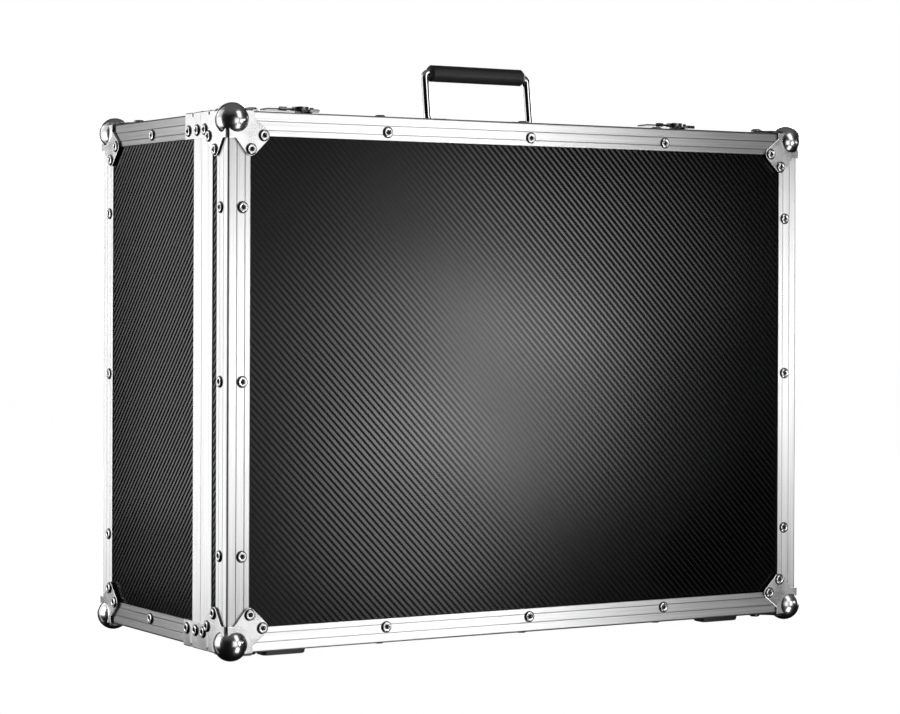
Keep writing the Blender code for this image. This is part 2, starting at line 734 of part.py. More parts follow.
def latch_wing_mesh(builder):
    """The folding wing lying flat behind the drum, with a knuckle on each side of it."""
    back = WING_REACH - WING_CORNER
    outline = arc((WING_RIGHT - WING_CORNER, back), WING_CORNER, 0, 90, 6)
    outline += arc((-WING_LEFT + WING_CORNER, back), WING_CORNER, 90, 180, 6)
    outline += [(-WING_LEFT, WING_START), (WING_RIGHT, WING_START)]
    matrix = axes((0, 0, WING_BOTTOM), (1, 0, 0), (0, 1, 0), (0, 0, 1))
    plate = prism_mesh(outline, WING_PLATE, matrix)
    steps = []
    for side_x, (near, far) in ((-1, WING_LEFT_KNUCKLE), (1, WING_RIGHT_KNUCKLE)):
        start, end = sorted((side_x * near, side_x * far))
        tab = box_mesh((start, 0, WING_BOTTOM), (end, 2 * WING_START, WING_BOTTOM + WING_PLATE))
        steps.append(("UNION", tab))
        barrel = rod_mesh((start, 0, WING_AXIS_RISE), (end, 0, WING_AXIS_RISE), WING_KNUCKLE)
        steps.append(("UNION", barrel))
    hole = WING_PIN_RADIUS + RUNNING_GAP
    span = WING_LEFT + WING_RIGHT
    steps.append(("DIFFERENCE", rod_mesh((-span, 0, WING_AXIS_RISE), (span, 0, WING_AXIS_RISE), hole, 12)))
    room = DRUM_RADIUS + WING_CLEARANCE
    steps.append(("DIFFERENCE", rod_mesh((0, 0, 0), (0, 0, 2 * DRUM_TOP), room, 32)))
    return builder.combine(plate, steps)


def latch_hook_mesh(builder):
    """The hook: a knuckle on the pin, an arm across the parting line and a lip at its end."""
    half = HOOK_WIDTH / 2
    half_plate = HOOK_PLATE / 2
    arm = box_mesh((-half, -HOOK_REACH, -half_plate), (half, 0, half_plate))
    lip = box_mesh((-half, -HOOK_REACH, -half_plate - HOOK_LIP_DROP), (half, -HOOK_REACH + HOOK_PLATE, 0))
    barrel = rod_mesh((-half, 0, 0), (half, 0, 0), HOOK_KNUCKLE)
    hole = rod_mesh((-HOOK_WIDTH, 0, 0), (HOOK_WIDTH, 0, 0), HOOK_PIN_RADIUS + RUNNING_GAP, 12)
    return builder.combine(arm, [("UNION", lip), ("UNION", barrel), ("DIFFERENCE", hole)])


def keeper_mesh(builder):
    """The plate on the lid, with the ridge that the hook's lip drops in front of."""
    back = LID_END - FRONT - DRUM_SETBACK - KEEPER_EDGE
    outline = rounded_outline((-KEEPER_WIDTH / 2, back - KEEPER_DEPTH), (KEEPER_WIDTH / 2, back), LATCH_CORNER)
    plate = prism_mesh(outline, LATCH_PLATE, axes((0, 0, GAP), (1, 0, 0), (0, 1, 0), (0, 0, 1)))
    lip_back = -HOOK_AXIS_AHEAD - HOOK_REACH + HOOK_PLATE
    front = lip_back + RIDGE_CLEARANCE
    top = GAP + LATCH_PLATE + RIDGE_RISE
    ridge = box_mesh((-RIDGE_WIDTH / 2, front, GAP + LATCH_PLATE / 2),
                     (RIDGE_WIDTH / 2, front + RIDGE_THICKNESS, top))
    return builder.combine(plate, [("UNION", ridge)])


def build_latches(builder, lid):
    """Two equal latches."""
    base = latch_base_mesh(builder)
    rotor = latch_rotor_mesh(builder)
    wing = latch_wing_mesh(builder)
    hook = latch_hook_mesh(builder)
    keeper = keeper_mesh(builder)
    for side, place in latch_places():
        turn_pivot = builder.pivot(f"latch_turn_{side}", place)
        fold_pivot = builder.pivot(f"latch_fold_{side}", place + Vector((0, 0, WING_AXIS_RISE)))
        hook_place = place + Vector((0, -HOOK_AXIS_AHEAD, HOOK_AXIS_RISE))
        builder.add(f"latch_base_{side}", base, "steel", None, place)
        builder.add(f"latch_rotor_{side}", rotor, "steel", turn_pivot, place, smooth=True)
        builder.add(f"latch_wing_{side}", wing, "steel", fold_pivot, place, smooth=True)
        builder.add(f"latch_hook_{side}", hook, "steel", None, hook_place, (-HOOK_RAISED, 0, 0), smooth=True)
        builder.add(f"latch_keeper_{side}", keeper, "steel", lid, place)


def hinge_leaf_mesh(builder, side_y, own_knuckles):
    """One leaf, flat under the case, with its knuckles; side_y is -1 for the lid's leaf."""
    knuckle = HINGE_LENGTH / HINGE_KNUCKLES
    low = HINGE_AXIS_DROP - GAP - HINGE_LEAF
    high = HINGE_AXIS_DROP - GAP
    near, far = sorted((side_y * HINGE_ROOT, side_y * HINGE_LEAF_WIDTH))
    leaf = box_mesh((-HINGE_LENGTH / 2, near, low), (HINGE_LENGTH / 2, far, high))
    steps = []
    if side_y > 0:
        pad_start = BODY_FLANGE_END - SEAM + 2 * GAP
        pad = box_mesh((-HINGE_LENGTH / 2 + knuckle / 4, pad_start, low + HINGE_LEAF / 2),
                       (HINGE_LENGTH / 2 - knuckle / 4, far - HINGE_ROOT, high + SKIN))
        steps.append(("UNION", pad))
    room = HINGE_BARREL + RUNNING_GAP
    for number in range(HINGE_KNUCKLES):
        start = -HINGE_LENGTH / 2 + number * knuckle
        end = start + knuckle
        if number not in own_knuckles:
            notch = rod_mesh((start - GAP, 0, 0), (end + GAP, 0, 0), room)
            steps.append(("DIFFERENCE", notch))
    for number in own_knuckles:
        start = -HINGE_LENGTH / 2 + number * knuckle
        inner_start = start + (GAP if number > 0 else 0)
        inner_end = start + knuckle - (GAP if number < HINGE_KNUCKLES - 1 else 0)
        steps.append(("UNION", rod_mesh((inner_start, 0, 0), (inner_end, 0, 0), HINGE_BARREL)))
    half = HINGE_LENGTH / 2
    if side_y > 0:
        steps.append(("UNION", rod_mesh((-half + GAP, 0, 0), (half - GAP, 0, 0), HINGE_PIN, 12)))
    else:
        steps.append(("DIFFERENCE", rod_mesh((-half, 0, 0), (half, 0, 0), HINGE_PIN + RUNNING_GAP, 12)))
    return builder.combine(leaf, steps)


def build_hinges(builder, lid):
    """Two hinges under the bottom edge; the pin is fixed in the body's leaf."""
    outer = [number for number in range(HINGE_KNUCKLES) if number % 2 == 0]
    inner = [number for number in range(HINGE_KNUCKLES) if number % 2 == 1]
    body_leaf = hinge_leaf_mesh(builder, 1, outer)
    lid_leaf = hinge_leaf_mesh(builder, -1, inner)
    for side, side_x in LEFT_RIGHT:
        place = (side_x * (SIDE - HINGE_SETIN), SEAM, BOTTOM - HINGE_AXIS_DROP)
        builder.add(f"hinge_body_leaf_{side}", body_leaf, "steel", None, place, smooth=True)
        builder.add(f"hinge_lid_leaf_{side}", lid_leaf, "steel", lid, place, smooth=True)


def foot_mesh():
    """A tapered rubber foot, its top against the case and its origin above its middle."""
    bm = bmesh.new()
    height = FOOT_HEIGHT - GAP
    size = Matrix.Diagonal((FOOT_LENGTH, FOOT_WIDTH, height, 1.0))
    bmesh.ops.create_cube(bm, size=1.0, matrix=Matrix.Translation((0, 0, -GAP - height / 2)) @ size)
    for vert in bm.verts:
        if vert.co.z < -FOOT_HEIGHT / 2:
            vert.co.x -= math.copysign(FOOT_TAPER, vert.co.x)
            vert.co.y -= math.copysign(FOOT_TAPER, vert.co.y)
    upright = [edge for edge in bm.edges if abs(edge.verts[0].co.z - edge.verts[1].co.z) > height / 2]
    bmesh.ops.bevel(bm, geom=upright, offset=2 * FOOT_BEVEL, segments=3, profile=0.5, affect="EDGES")
    return finished_mesh(bm)


def build_feet(builder, lid):
    """Two feet under the lid and two under the back of the body."""
    mesh = foot_mesh()
    for shell, y, parent in (("front", FRONT + FOOT_SETBACK, lid), ("back", BACK - FOOT_SETBACK, None)):
        for side, side_x in LEFT_RIGHT:
            place = (side_x * (SIDE - FOOT_CENTRE), y, BOTTOM)
            builder.add(f"foot_{shell}_{side}", mesh, "rubber", parent, place)


def build():
    """Makes the whole case."""
    clear_scene()
    builder = Builder()
    lid = builder.pivot("lid_pivot", (0, SEAM, BOTTOM - HINGE_AXIS_DROP))
    build_body_panels(builder)
    build_lid_panels(builder, lid)
    build_closing_frames(builder, lid)
    build_angle_frame(builder, "lid", FRONT, 1, lid)
    build_angle_frame(builder, "back", BACK, -1, None)
    build_edge_angles(builder)
    build_ball_corners(builder, lid)
    build_braces(builder, lid)
    build_linings(builder, lid)
    build_handle(builder)
    build_latches(builder, lid)
    build_hinges(builder, lid)
    build_feet(builder, lid)


build()
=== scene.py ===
"""Looks for the flight case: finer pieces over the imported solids, materials, light and camera."""

import math

import bmesh
import bpy
from mathutils import Matrix, Vector


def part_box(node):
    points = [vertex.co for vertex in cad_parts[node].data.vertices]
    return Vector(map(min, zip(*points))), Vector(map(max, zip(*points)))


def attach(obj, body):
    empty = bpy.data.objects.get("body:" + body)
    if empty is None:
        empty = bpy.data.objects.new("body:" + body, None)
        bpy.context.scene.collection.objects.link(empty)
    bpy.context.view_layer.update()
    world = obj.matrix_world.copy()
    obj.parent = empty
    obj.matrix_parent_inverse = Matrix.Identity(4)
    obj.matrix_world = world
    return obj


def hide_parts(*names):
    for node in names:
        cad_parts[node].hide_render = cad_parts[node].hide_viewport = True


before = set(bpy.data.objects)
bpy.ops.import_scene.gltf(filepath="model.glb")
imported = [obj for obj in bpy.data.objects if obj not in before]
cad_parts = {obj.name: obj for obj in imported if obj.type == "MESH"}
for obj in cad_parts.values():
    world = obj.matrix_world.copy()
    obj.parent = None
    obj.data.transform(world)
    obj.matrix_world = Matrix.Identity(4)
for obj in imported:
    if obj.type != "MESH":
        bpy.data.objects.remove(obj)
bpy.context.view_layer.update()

# Directions
X, Y, Z = (1, 0, 0), (0, 1, 0), (0, 0, 1)
LEFT_RIGHT = (("left", -1), ("right", 1))
BOTTOM_TOP = (("bottom", -1), ("top", 1))
DEPTH_EDGES = [(*side, *level) for side in LEFT_RIGHT for level in BOTTOM_TOP]

# Faces of the case, read from the solids
frame_low, frame_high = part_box("body_closing_frame")
SIDE = frame_high.x
BOTTOM = frame_low.z
TOP = frame_high.z
MIDDLE_Z = (BOTTOM + TOP) / 2
HALF_HEIGHT = (TOP - BOTTOM) / 2
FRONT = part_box("lid_angle_left")[0].y
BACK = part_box("back_angle_left")[1].y
BODY_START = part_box("body_brace_top_left")[0].y
LID_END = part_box("lid_brace_top_left")[1].y

# The gap between pieces that touch, how round plates are, and the angles of sharp and of bevelled edges
GAP = 0.0003
ROUND_OFF = 0.0004
FINE_ROUND_OFF = 0.0003
SHARP_ANGLE = math.radians(19)
BEVEL_ANGLE = math.radians(40)

# Ball corners
BALL_RADIUS = 0.0154
BALL_INSET = 0.0079
BALL_SEGMENTS = 56
BALL_HIDDEN = 0.002
CORNER_PLATE = 0.0022
CORNER_REACH = 0.0245
CORNER_STEP = 0.0064
LOBE_RADIUS = 0.006
LOBE_FAR = 0.034
LOBE_NEAR = 0.0216

# Braces
BRACE_LEG = 0.0225
BRACE_PLATE = 0.0013
BRACE_RIVET_INSET = 0.0150
BRACE_NOTCH = 0.0032
BRACE_NOTCH_DEPTH = 0.0024
BRACE_UNDER_PLATE = FRONT + 0.024
LID_BRACE_NOTCH = FRONT + 0.0353
LID_BRACE_RIVET = FRONT + 0.0442
BODY_BRACE_NOTCH = 0.495
BODY_BRACE_RIVETS = (0.20, 0.765)

# Laminate skins, and how far below the metal they end
SKIN_DROP = 0.0008
SKIN_THICKNESS = 0.0009
SKIN_ROUND_OFF = 0.0001

# Rivets; their skirt, rim and bore are (radius, height) points in shares of the radius; the skirt is painted
# dark, a painted shade
RIVET_INSET = 0.0145
RIVET_SPACING = 0.1545
RIVET_RADIUS = 0.0055
SMALL_RIVET_RADIUS = 0.0022
RIVET_SEGMENTS = 24
RIVET_SKIRT = ((1.00, 0.0), (0.97, 0.10), (0.88, 0.25), (0.77, 0.33))
RIVET_RIM = ((0.77, 0.33), (0.70, 0.37), (0.57, 0.38), (0.45, 0.36), (0.36, 0.30), (0.31, 0.22))
RIVET_BORE = ((0.31, 0.22), (0.29, 0.11), (0.0, 0.11))

# Handle; in its own frame X goes along the grip and Z up the legs
HANDLE_Y = FRONT + 0.094
HANDLE_Z = TOP + 0.0024
HANDLE_SPAN = 0.1157
HANDLE_RISE = 0.0490
HANDLE_LEAN = math.radians(7.5)
HANDLE_FRAME = Matrix.Translation((0, HANDLE_Y, HANDLE_Z)) @ Matrix.Rotation(-HANDLE_LEAN, 4, "X")
WIRE_RADIUS = 0.0039
WIRE_SIDES = 28
WIRE_TOP_BEND = 0.005
WIRE_FOOT_BEND = 0.006
WIRE_STUB = 0.024
GRIP_RADIUS = 0.0081
GRIP_LENGTH = 0.1066
GRIP_CHAMFER = 0.0028
GRIP_BORE_GAP = 0.0002
GRIP_RIB_PITCH = 0.0016
GRIP_RIB_DEPTH = 0.00012
GRIP_RIB_POINTS = 4

# Handle base; its screws are placed in shares of its half length and its depth
BASE_PLATE = 0.0012
BASE_LENGTH = 0.104
BASE_DEPTH = 0.044
BASE_SCREWS_X = (-0.75, -0.25, 0.25, 0.75)
BASE_SCREWS_Y = (-0.36, 0.36)
SADDLE_LENGTH = 0.012
SADDLE_WALL = 0.0009
SADDLE_INSET = 0.0075

# Latches, measured from the middle of the drum
DRUM_Y = FRONT + 0.070
DRUM_X = {"left": -0.208, "right": 0.216}
LATCH_PLATE = 0.0015
LATCH_PLATE_LEFT = -0.034
LATCH_PLATE_RIGHT = 0.026
LATCH_PLATE_BACK = 0.026
LATCH_PLATE_EDGE = 0.0012
LATCH_CORNER = 0.005
DISH = ((0.002, 0.0), (0.0026, 0.0004), (0.0036, 0.0004), (0.0042, 0.0))
DRUM_RADIUS = 0.0085
DRUM_TOP = 0.0106
DRUM_THICKNESS = 0.0039
DRUM_EDGE = 0.0005
HUB_RADIUS = 0.0053
NUB_RADIUS = 0.003
NUB_RISE = 0.0007
NUB_PROFILE = ((0.0, 1.0), (0.55, 0.97), (0.85, 0.75), (1.0, 0.2), (1.08, 0.0))
WING_AXIS_RISE = 0.0085
WING_PIN_RADIUS = 0.001
WING_PIN_IN_DRUM = 0.001
PIN_PROUD = 0.0004
WING_KNUCKLE = 0.0019
WING_LEFT = 0.033
WING_RIGHT = 0.021
WING_LEFT_KNUCKLE = (0.0145, 0.022)
WING_RIGHT_KNUCKLE = (0.0096, 0.0135)
WING_PLATE = 0.0014
WING_BOTTOM = 0.0075
WING_START = 0.0015
WING_REACH = 0.024
WING_CORNER = 0.008
WING_CLEARANCE = 0.0007
RIB_HALF = 0.010
RIB_FROM_EDGE = (0.0075, 0.0045)
RIB_CORNER = 0.0014
RIB_RISE = 0.0004
HOOK_AXIS_AHEAD = 0.0077
HOOK_AXIS_RISE = 0.0044
HOOK_KNUCKLE = 0.0019
HOOK_PIN_RADIUS = 0.0008
HOOK_WIDTH = 0.009
HOOK_PLATE = 0.0015
HOOK_REACH = 0.0208
HOOK_LIP_DROP = 0.0016
HOOK_RAISED = math.radians(5.5)
HOOK_BEVEL = 0.0002
EAR = 0.0015
EAR_CLEARANCE = 0.0004
KEEPER_WIDTH = 0.040
KEEPER_DEPTH = 0.022
KEEPER_EDGE = 0.0014
RIDGE_WIDTH = 0.014
RIDGE_THICKNESS = 0.002
RIDGE_RISE = 0.0015
RIDGE_CLEARANCE = 0.0017

# Hinges; a leaf's rivets are placed in shares of its half length
HINGE_X = SIDE - 0.158
HINGE_Y = (BODY_START + LID_END) / 2
HINGE_DROP = 0.0035
HINGE_LENGTH = 0.060
HINGE_BARREL = 0.003
HINGE_PIN = 0.0013
HINGE_LEAF = 0.0015
HINGE_LEAF_WIDTH = 0.022
HINGE_KNUCKLES = 3
HINGE_ROOT = 0.0006
HINGE_RIVETS = (-0.72, 0.0, 0.72)

# Feet; their profile goes down in shares of the taper and of the height
FOOT_TAPER = 0.0015
FOOT_PROFILE = ((0.0, 0.0), (0.6, 0.72), (0.8, 0.92), (1.4, 1.0))
FOOT_CORNER = 0.004
FOOT_SCREW_INSET = 0.0075
FOOT_CUP = ((0.0, 0.0002), (0.0022, 0.0002), (0.0027, 0.0))

# Foam: the egg crate's pitch, points in a pitch and share of depth that is waves, and the body's sheets
EGG_PITCH = 0.020
EGG_STEPS = 4
EGG_WAVE = 0.32
SHEET = 0.008
SHEET_ROUND_OFF = 0.0015

# Twill of the laminate: the pitch of its threads, where the broad band ends and how soft that edge is, how
# far the broad (gentle) and the narrow (steep) band lean, how much more on the ends, how much they wander,
# and how far a thread's flanks lean
TWILL_PITCH = Vector((0.001675, 0.001710, 0.001720))
TWILL_BROAD = 1.12
TWILL_EDGE = 0.12
TWILL_GENTLE = 0.0264
TWILL_STEEP = 0.0337
TWILL_END_LEAN = 1.35
TWILL_WANDER = 0.10
TWILL_THREAD_LEAN = 0.012

# Its greys, its roughness on the front and on the ends, its wear, and how wide and how rough its valleys are
TWILL_GREYS = (0.0004, 0.0012)
TWILL_GLOSS = 0.155
TWILL_END_GLOSS = 0.125
TWILL_WEAR = 0.006
TWILL_VALLEY = 0.16
TWILL_VALLEY_ROUGH = 0.60

# Aluminium: how round its edges look, how dark the shade painted into its grooves and along its outer edges
# is, where both begin and end, its greys, its roughness and what streaks and patches add to it, and how fine
# the streaks are
ALUMINIUM_ROUND = 0.0012
GROOVE_PAINTED_SHADE = 0.65
EDGE_SHADE = 0.85
GROOVE_DEPTHS = (0.00004, 0.00016)
GROOVE_FROM_EDGE = 0.004
EDGE_WIDTHS = (0.0008, 0.0020)
ALUMINIUM_GREYS = (0.64, 0.88)
ALUMINIUM_ROUGH = 0.27
STREAKS_ROUGH = 0.16
PATCHES_ROUGH = 0.08
STREAK_LONG = 6.0
STREAK_FINE = 900.0
FRAME_BAR = 0.012

# Where most of a noise's numbers lie
NOISE_RANGE = (0.3, 0.7)

# World: how bright its parts are in reflections and on matt surfaces, and where they fade in
WORLD_BEHIND = 0.2
WORLD_BEHIND_FADE = (0.86, 0.96)
WORLD_ABOVE = 0.16
WORLD_ABOVE_FADE = (0.25, 1.0)
WORLD_ROOM = 0.004
WORLD_SOFT = 0.10

# Floor
FLOOR_HALF = 6.0
FLOOR_GREYS = (0.88, 0.92)
FLOOR_ALPHA = 0.08
FLOOR_GLOW = 0.85

# Camera, fitted to the edges of the case in the photograph
CAMERA_PLACE = (-1.3294, -2.2223, 0.3289)
CAMERA_YAW = math.radians(30.765)
CAMERA_ROLL = math.radians(0.1968)
CAMERA_LENS = 104.932
CAMERA_SENSOR = 36.0
CAMERA_SHIFT_Y = -0.0732
CAMERA_RANGE = (0.05, 50.0)

# Lamps: where those in front and on the left stand, and what most of those in front point at
FRONT_WALL = -1.50
LEFT_WALL = -1.15
FRONT_TARGET = (-0.03, FRONT, 0.25)


class Tree:
    """Builds a tree of nodes."""

    def __init__(self, tree):
        self.tree = tree

    def node(self, kind, inputs=(), **settings):
        """Adds a node; each input is a value or another node's output."""
        made = self.tree.nodes.new(kind)
        for key, value in settings.items():
            setattr(made, key, value)
        for key, value in dict(inputs).items():
            if isinstance(value, bpy.types.NodeSocket):
                self.tree.links.new(value, made.inputs[key])
            else:
                made.inputs[key].default_value = value
        return made

    def math(self, operation, *values):
        """A sum on numbers."""
        return self.node("ShaderNodeMath", enumerate(values), operation=operation).outputs[0]

    def vector(self, operation, *values, output=0):
        """A sum on vectors."""
        return self.node("ShaderNodeVectorMath", enumerate(values), operation=operation).outputs[output]

    def split(self, vector):
        """A vector's three numbers."""
        return list(self.node("ShaderNodeSeparateXYZ", {0: vector}).outputs)

    def blend(self, factor, first, second):
        """A number between two others."""
        return self.node("ShaderNodeMix", {0: factor, 2: first, 3: second}).outputs[0]

    def blend_vector(self, factor, first, second):
        """A vector between two others."""
        return self.node("ShaderNodeMix", {0: factor, 4: first, 5: second}, data_type="VECTOR").outputs[1]

    def spread(self, *values, **settings):
        """Takes a number from one range, its low and high, to another."""
        return self.node("ShaderNodeMapRange", enumerate(values), **settings).outputs[0]

    def noise(self, vector, scale, detail=2.0, rough=0.5):
        """Soft random numbers from 0 to 1."""
        inputs = {"Vector": vector, "Scale": scale, "Detail": detail, "Roughness": rough}
        return self.node("ShaderNodeTexNoise", inputs).outputs[0]

    def vary(self, noise, low, high):
        """Takes most of a noise to a range."""
        return self.spread(noise, *NOISE_RANGE, low, high)

    def reach(self, direction, start, end):
        """0 far from a direction of the sky, 1 near it, softly from a start to an end."""
        sky = self.node("ShaderNodeTexCoord").outputs["Generated"]
        near = self.vector("DOT_PRODUCT", sky, direction, output=1)
        return self.spread(near, start, end, interpolation_type="SMOOTHSTEP")


class Shader(Tree):
    """One material and its nodes."""

    def __init__(self, name, **sockets):
        self.material = bpy.data.materials.new(name)
        self.material.use_nodes = True
        super().__init__(self.material.node_tree)
        self.surface = self.tree.nodes["Principled BSDF"]
        for socket, value in sockets.items():
            self.surface.inputs[socket.replace("_", " ")].default_value = value

    def place(self):
        """Position on the object, in metres."""
        return self.node("ShaderNodeTexCoord").outputs["Object"]

    def facing(self):
        """The surface's direction on the object."""
        return self.node("ShaderNodeTexCoord").outputs["Normal"]

    def mostly(self, part):
        """1 where a direction lies mostly along the axis of this part of it, else 0."""
        return self.math("GREATER_THAN", self.math("ABSOLUTE", part), 0.5)

    def to_world(self, vector):
        """Turns a direction on the object to the world's."""
        settings = {"vector_type": "VECTOR", "convert_from": "OBJECT", "convert_to": "WORLD"}
        return self.node("ShaderNodeVectorTransform", {0: vector}, **settings).outputs[0]

    def bump(self, height, distance, **inputs):
        """Relief from a height, its distance in metres."""
        return self.node("ShaderNodeBump", {"Height": height, "Distance": distance, **inputs}).outputs[0]

    def set(self, socket, output):
        """Gives an output to a socket of the surface."""
        self.tree.links.new(output, self.surface.inputs[socket])


def laminate_material():
    """Dark glossy laminate pressed with a twill: diagonal bands that lean either way, with fine threads."""
    s = Shader("laminate_twill", Metallic=0.0, Specular_IOR_Level=0.3)
    x, y, z = s.split(s.place())
    facing_x, _, facing_z = s.split(s.facing())
    on_end = s.mostly(facing_x)
    on_top = s.mostly(facing_z)
    across = s.blend(on_end, s.math("DIVIDE", x, TWILL_PITCH.x), s.math("DIVIDE", y, TWILL_PITCH.y))
    up = s.blend(on_top, s.math("DIVIDE", z, TWILL_PITCH.z), s.math("DIVIDE", y, TWILL_PITCH.y))
    wander = s.vary(s.noise(s.place(), 420.0), -TWILL_WANDER, TWILL_WANDER)
    phase = s.math("WRAP", s.math("ADD", s.math("ADD", across, up), wander), 2.0, -2.0)
    half_phase = s.math("ABSOLUTE", phase)
    band = s.spread(half_phase, TWILL_BROAD - TWILL_EDGE, TWILL_BROAD + TWILL_EDGE, 1.0, 0.0)
    off_valley = s.math("ABSOLUTE", s.math("SUBTRACT", phase, TWILL_BROAD))
    valley = s.spread(off_valley, 0.0, TWILL_VALLEY, 1.0, 0.0)
    more = s.blend(on_end, 1.0, TWILL_END_LEAN)
    lean = s.math("MULTIPLY", s.spread(band, 0.0, 1.0, -TWILL_STEEP, TWILL_GENTLE), more)
    wide = s.blend_vector(on_end, X, Y)
    tall = s.blend_vector(on_top, Z, Y)
    flanks = []
    for number, direction in ((across, wide), (up, tall)):
        flank = s.math("SINE", s.math("MULTIPLY", number, 2 * math.pi))
        tilt = s.math("ADD", lean, s.math("MULTIPLY", flank, TWILL_THREAD_LEAN))
        flanks.append(s.vector("MULTIPLY", direction, tilt))
    leaning = s.vector("ADD", s.facing(), s.vector("ADD", *flanks))
    wear = s.vary(s.noise(s.place(), 9.0, 3.0), -TWILL_WEAR, TWILL_WEAR)
    gloss = s.math("ADD", s.blend(on_end, TWILL_GLOSS, TWILL_END_GLOSS), wear)
    s.set("Base Color", s.blend(band, *TWILL_GREYS))
    s.set("Roughness", s.blend(valley, gloss, TWILL_VALLEY_ROUGH))
    s.set("Normal", s.vector("NORMALIZE", s.to_world(leaning)))
    return s.material


def streak_scale(axis):
    """How fine streaks are in x, y and z that run along one of them."""
    return tuple(STREAK_LONG if number == axis else STREAK_FINE for number in range(3))


def aluminium_material(name, axis=None, tone=1.0):
    """Satin aluminium drawn along one axis or along each bar of a frame, with painted shade in its grooves
    and on its edges.
    """
    s = Shader(name, Metallic=1.0, Anisotropic=0.8)
    place = s.place()
    x, y, z = s.split(place)
    if axis is None:
        upright = s.math("GREATER_THAN", s.math("ABSOLUTE", x), SIDE - FRAME_BAR)
        drawn = s.blend_vector(upright, X, Z)
        fine = s.blend_vector(upright, streak_scale(0), streak_scale(2))
    else:
        drawn = (X, Y, Z)[axis]
        fine = streak_scale(axis)
    rounded = s.node("ShaderNodeBevel", {"Radius": ALUMINIUM_ROUND}, samples=4).outputs[0]
    s.set("Tangent", s.vector("NORMALIZE", s.vector("CROSS_PRODUCT", s.to_world(drawn), rounded)))
    streaks = s.noise(s.vector("MULTIPLY", place, fine), 1.0, 3.0, 0.6)
    patches = s.noise(place, 14.0, 3.0)
    faces = ((SIDE, x), (BACK, y), (HALF_HEIGHT, s.math("SUBTRACT", z, MIDDLE_Z)))
    deep_x, deep_y, deep_z = (s.math("SUBTRACT", face, s.math("ABSOLUTE", part)) for face, part in faces)
    nearer = s.math("MINIMUM", deep_x, deep_y)
    farther = s.math("MAXIMUM", deep_x, deep_y)
    shallow = s.math("MINIMUM", nearer, deep_z)
    second = s.math("MAXIMUM", nearer, s.math("MINIMUM", farther, deep_z))
    # Painted shade: the base colour is darkened in the grooves and along the outer edges, where shade falls
    sunk = s.spread(shallow, *GROOVE_DEPTHS, 0.0, 1.0)
    groove = s.math("MULTIPLY", sunk, s.math("GREATER_THAN", second, GROOVE_FROM_EDGE))
    corner = s.spread(second, *EDGE_WIDTHS, EDGE_SHADE, 0.0)
    painted_shade = s.math("MAXIMUM", s.math("MULTIPLY", groove, GROOVE_PAINTED_SHADE), corner)
    metal = s.spread(streaks, 0.25, 0.75, *(tone * grey for grey in ALUMINIUM_GREYS))
    s.set("Base Color", s.math("MULTIPLY", metal, s.math("SUBTRACT", 1.0, painted_shade)))
    patches_add = s.math("MULTIPLY", patches, PATCHES_ROUGH)
    mixed = s.math("ADD", s.math("MULTIPLY", streaks, STREAKS_ROUGH), patches_add)
    s.set("Roughness", s.math("ADD", mixed, ALUMINIUM_ROUGH))
    s.set("Normal", s.bump(streaks, 0.00002, Normal=rounded))
    return s.material


def plated_material(name, bright, dull, rough):
    """Plated steel with faint handling marks."""
    s = Shader(name, Metallic=1.0)
    place = s.place()
    patches = s.noise(place, 60.0, 4.0)
    grain = s.noise(place, 1800.0)
    s.set("Base Color", s.blend(patches, dull, bright))
    s.set("Roughness", s.vary(patches, rough * 0.85, rough * 1.2))
    s.set("Normal", s.bump(grain, 0.000004))
    return s.material


def dark_material(name, grey, rough, grain_scale, relief):
    """Dark rubber, foam or a shaded hole."""
    s = Shader(name, Metallic=0.0)
    grain = s.noise(s.place(), grain_scale, 4.0, 0.6)
    s.set("Base Color", s.blend(grain, grey * 0.7, grey * 1.3))
    s.set("Roughness", s.vary(grain, rough - 0.06, rough + 0.06))
    s.set("Normal", s.bump(grain, relief))
    return s.material


LAMINATE = laminate_material()
ALUMINIUM_ACROSS = aluminium_material("aluminium_across", 0)
# The depth edges' aluminium is painted darker (tone 0.78): a painted-shade copy of the same metal
ALUMINIUM_DEPTH = aluminium_material("aluminium_depth", 1, tone=0.78)
ALUMINIUM_UPRIGHT = aluminium_material("aluminium_upright", 2)
ALUMINIUM_FRAME = aluminium_material("aluminium_frame")
PLATE = plated_material("plated_steel", bright=0.92, dull=0.82, rough=0.32)
CORNER = plated_material("corner_steel", bright=0.93, dull=0.88, rough=0.27)
POLISHED = plated_material("polished_steel", bright=0.60, dull=0.52, rough=0.22)
CHROME = plated_material("chrome", bright=0.72, dull=0.66, rough=0.10)
RIVET = plated_material("rivet_steel", bright=0.80, dull=0.66, rough=0.24)
# Rivet skirts are painted dark: painted shade for the dark surroundings their steep sides would reflect
SKIRT_PAINTED_SHADE = plated_material("rivet_skirt_painted_shade", bright=0.26, dull=0.14, rough=0.22)
# The latches' plated steel is painted dark: painted shade for the dark reflections their plates show
LATCH = plated_material("latch_steel_painted_dark", bright=0.24, dull=0.16, rough=0.22)
RUBBER = dark_material("rubber", grey=0.010, rough=0.48, grain_scale=900.0, relief=0.00002)
FOAM = dark_material("foam", grey=0.030, rough=0.95, grain_scale=2600.0, relief=0.00030)
# Rivet bores are painted near black: painted shade in the hole
HOLE = dark_material("rivet_hole", grey=0.004, rough=0.85, grain_scale=400.0, relief=0.00002)


def axes(origin, a, b, c):
    """Matrix that takes (a, b, c) coordinates along the three directions to the world."""
    matrix = Matrix((a, b, c)).transposed().to_4x4()
    matrix.translation = Vector(origin)
    return matrix


def on_face(point, normal):
    """Matrix that stands Z on a face."""
    return Matrix.Translation(point) @ Vector(normal).to_track_quat("Z", "Y").to_matrix().to_4x4()


def lift(height):
    """Matrix that lifts."""
    return Matrix.Translation((0, 0, height))


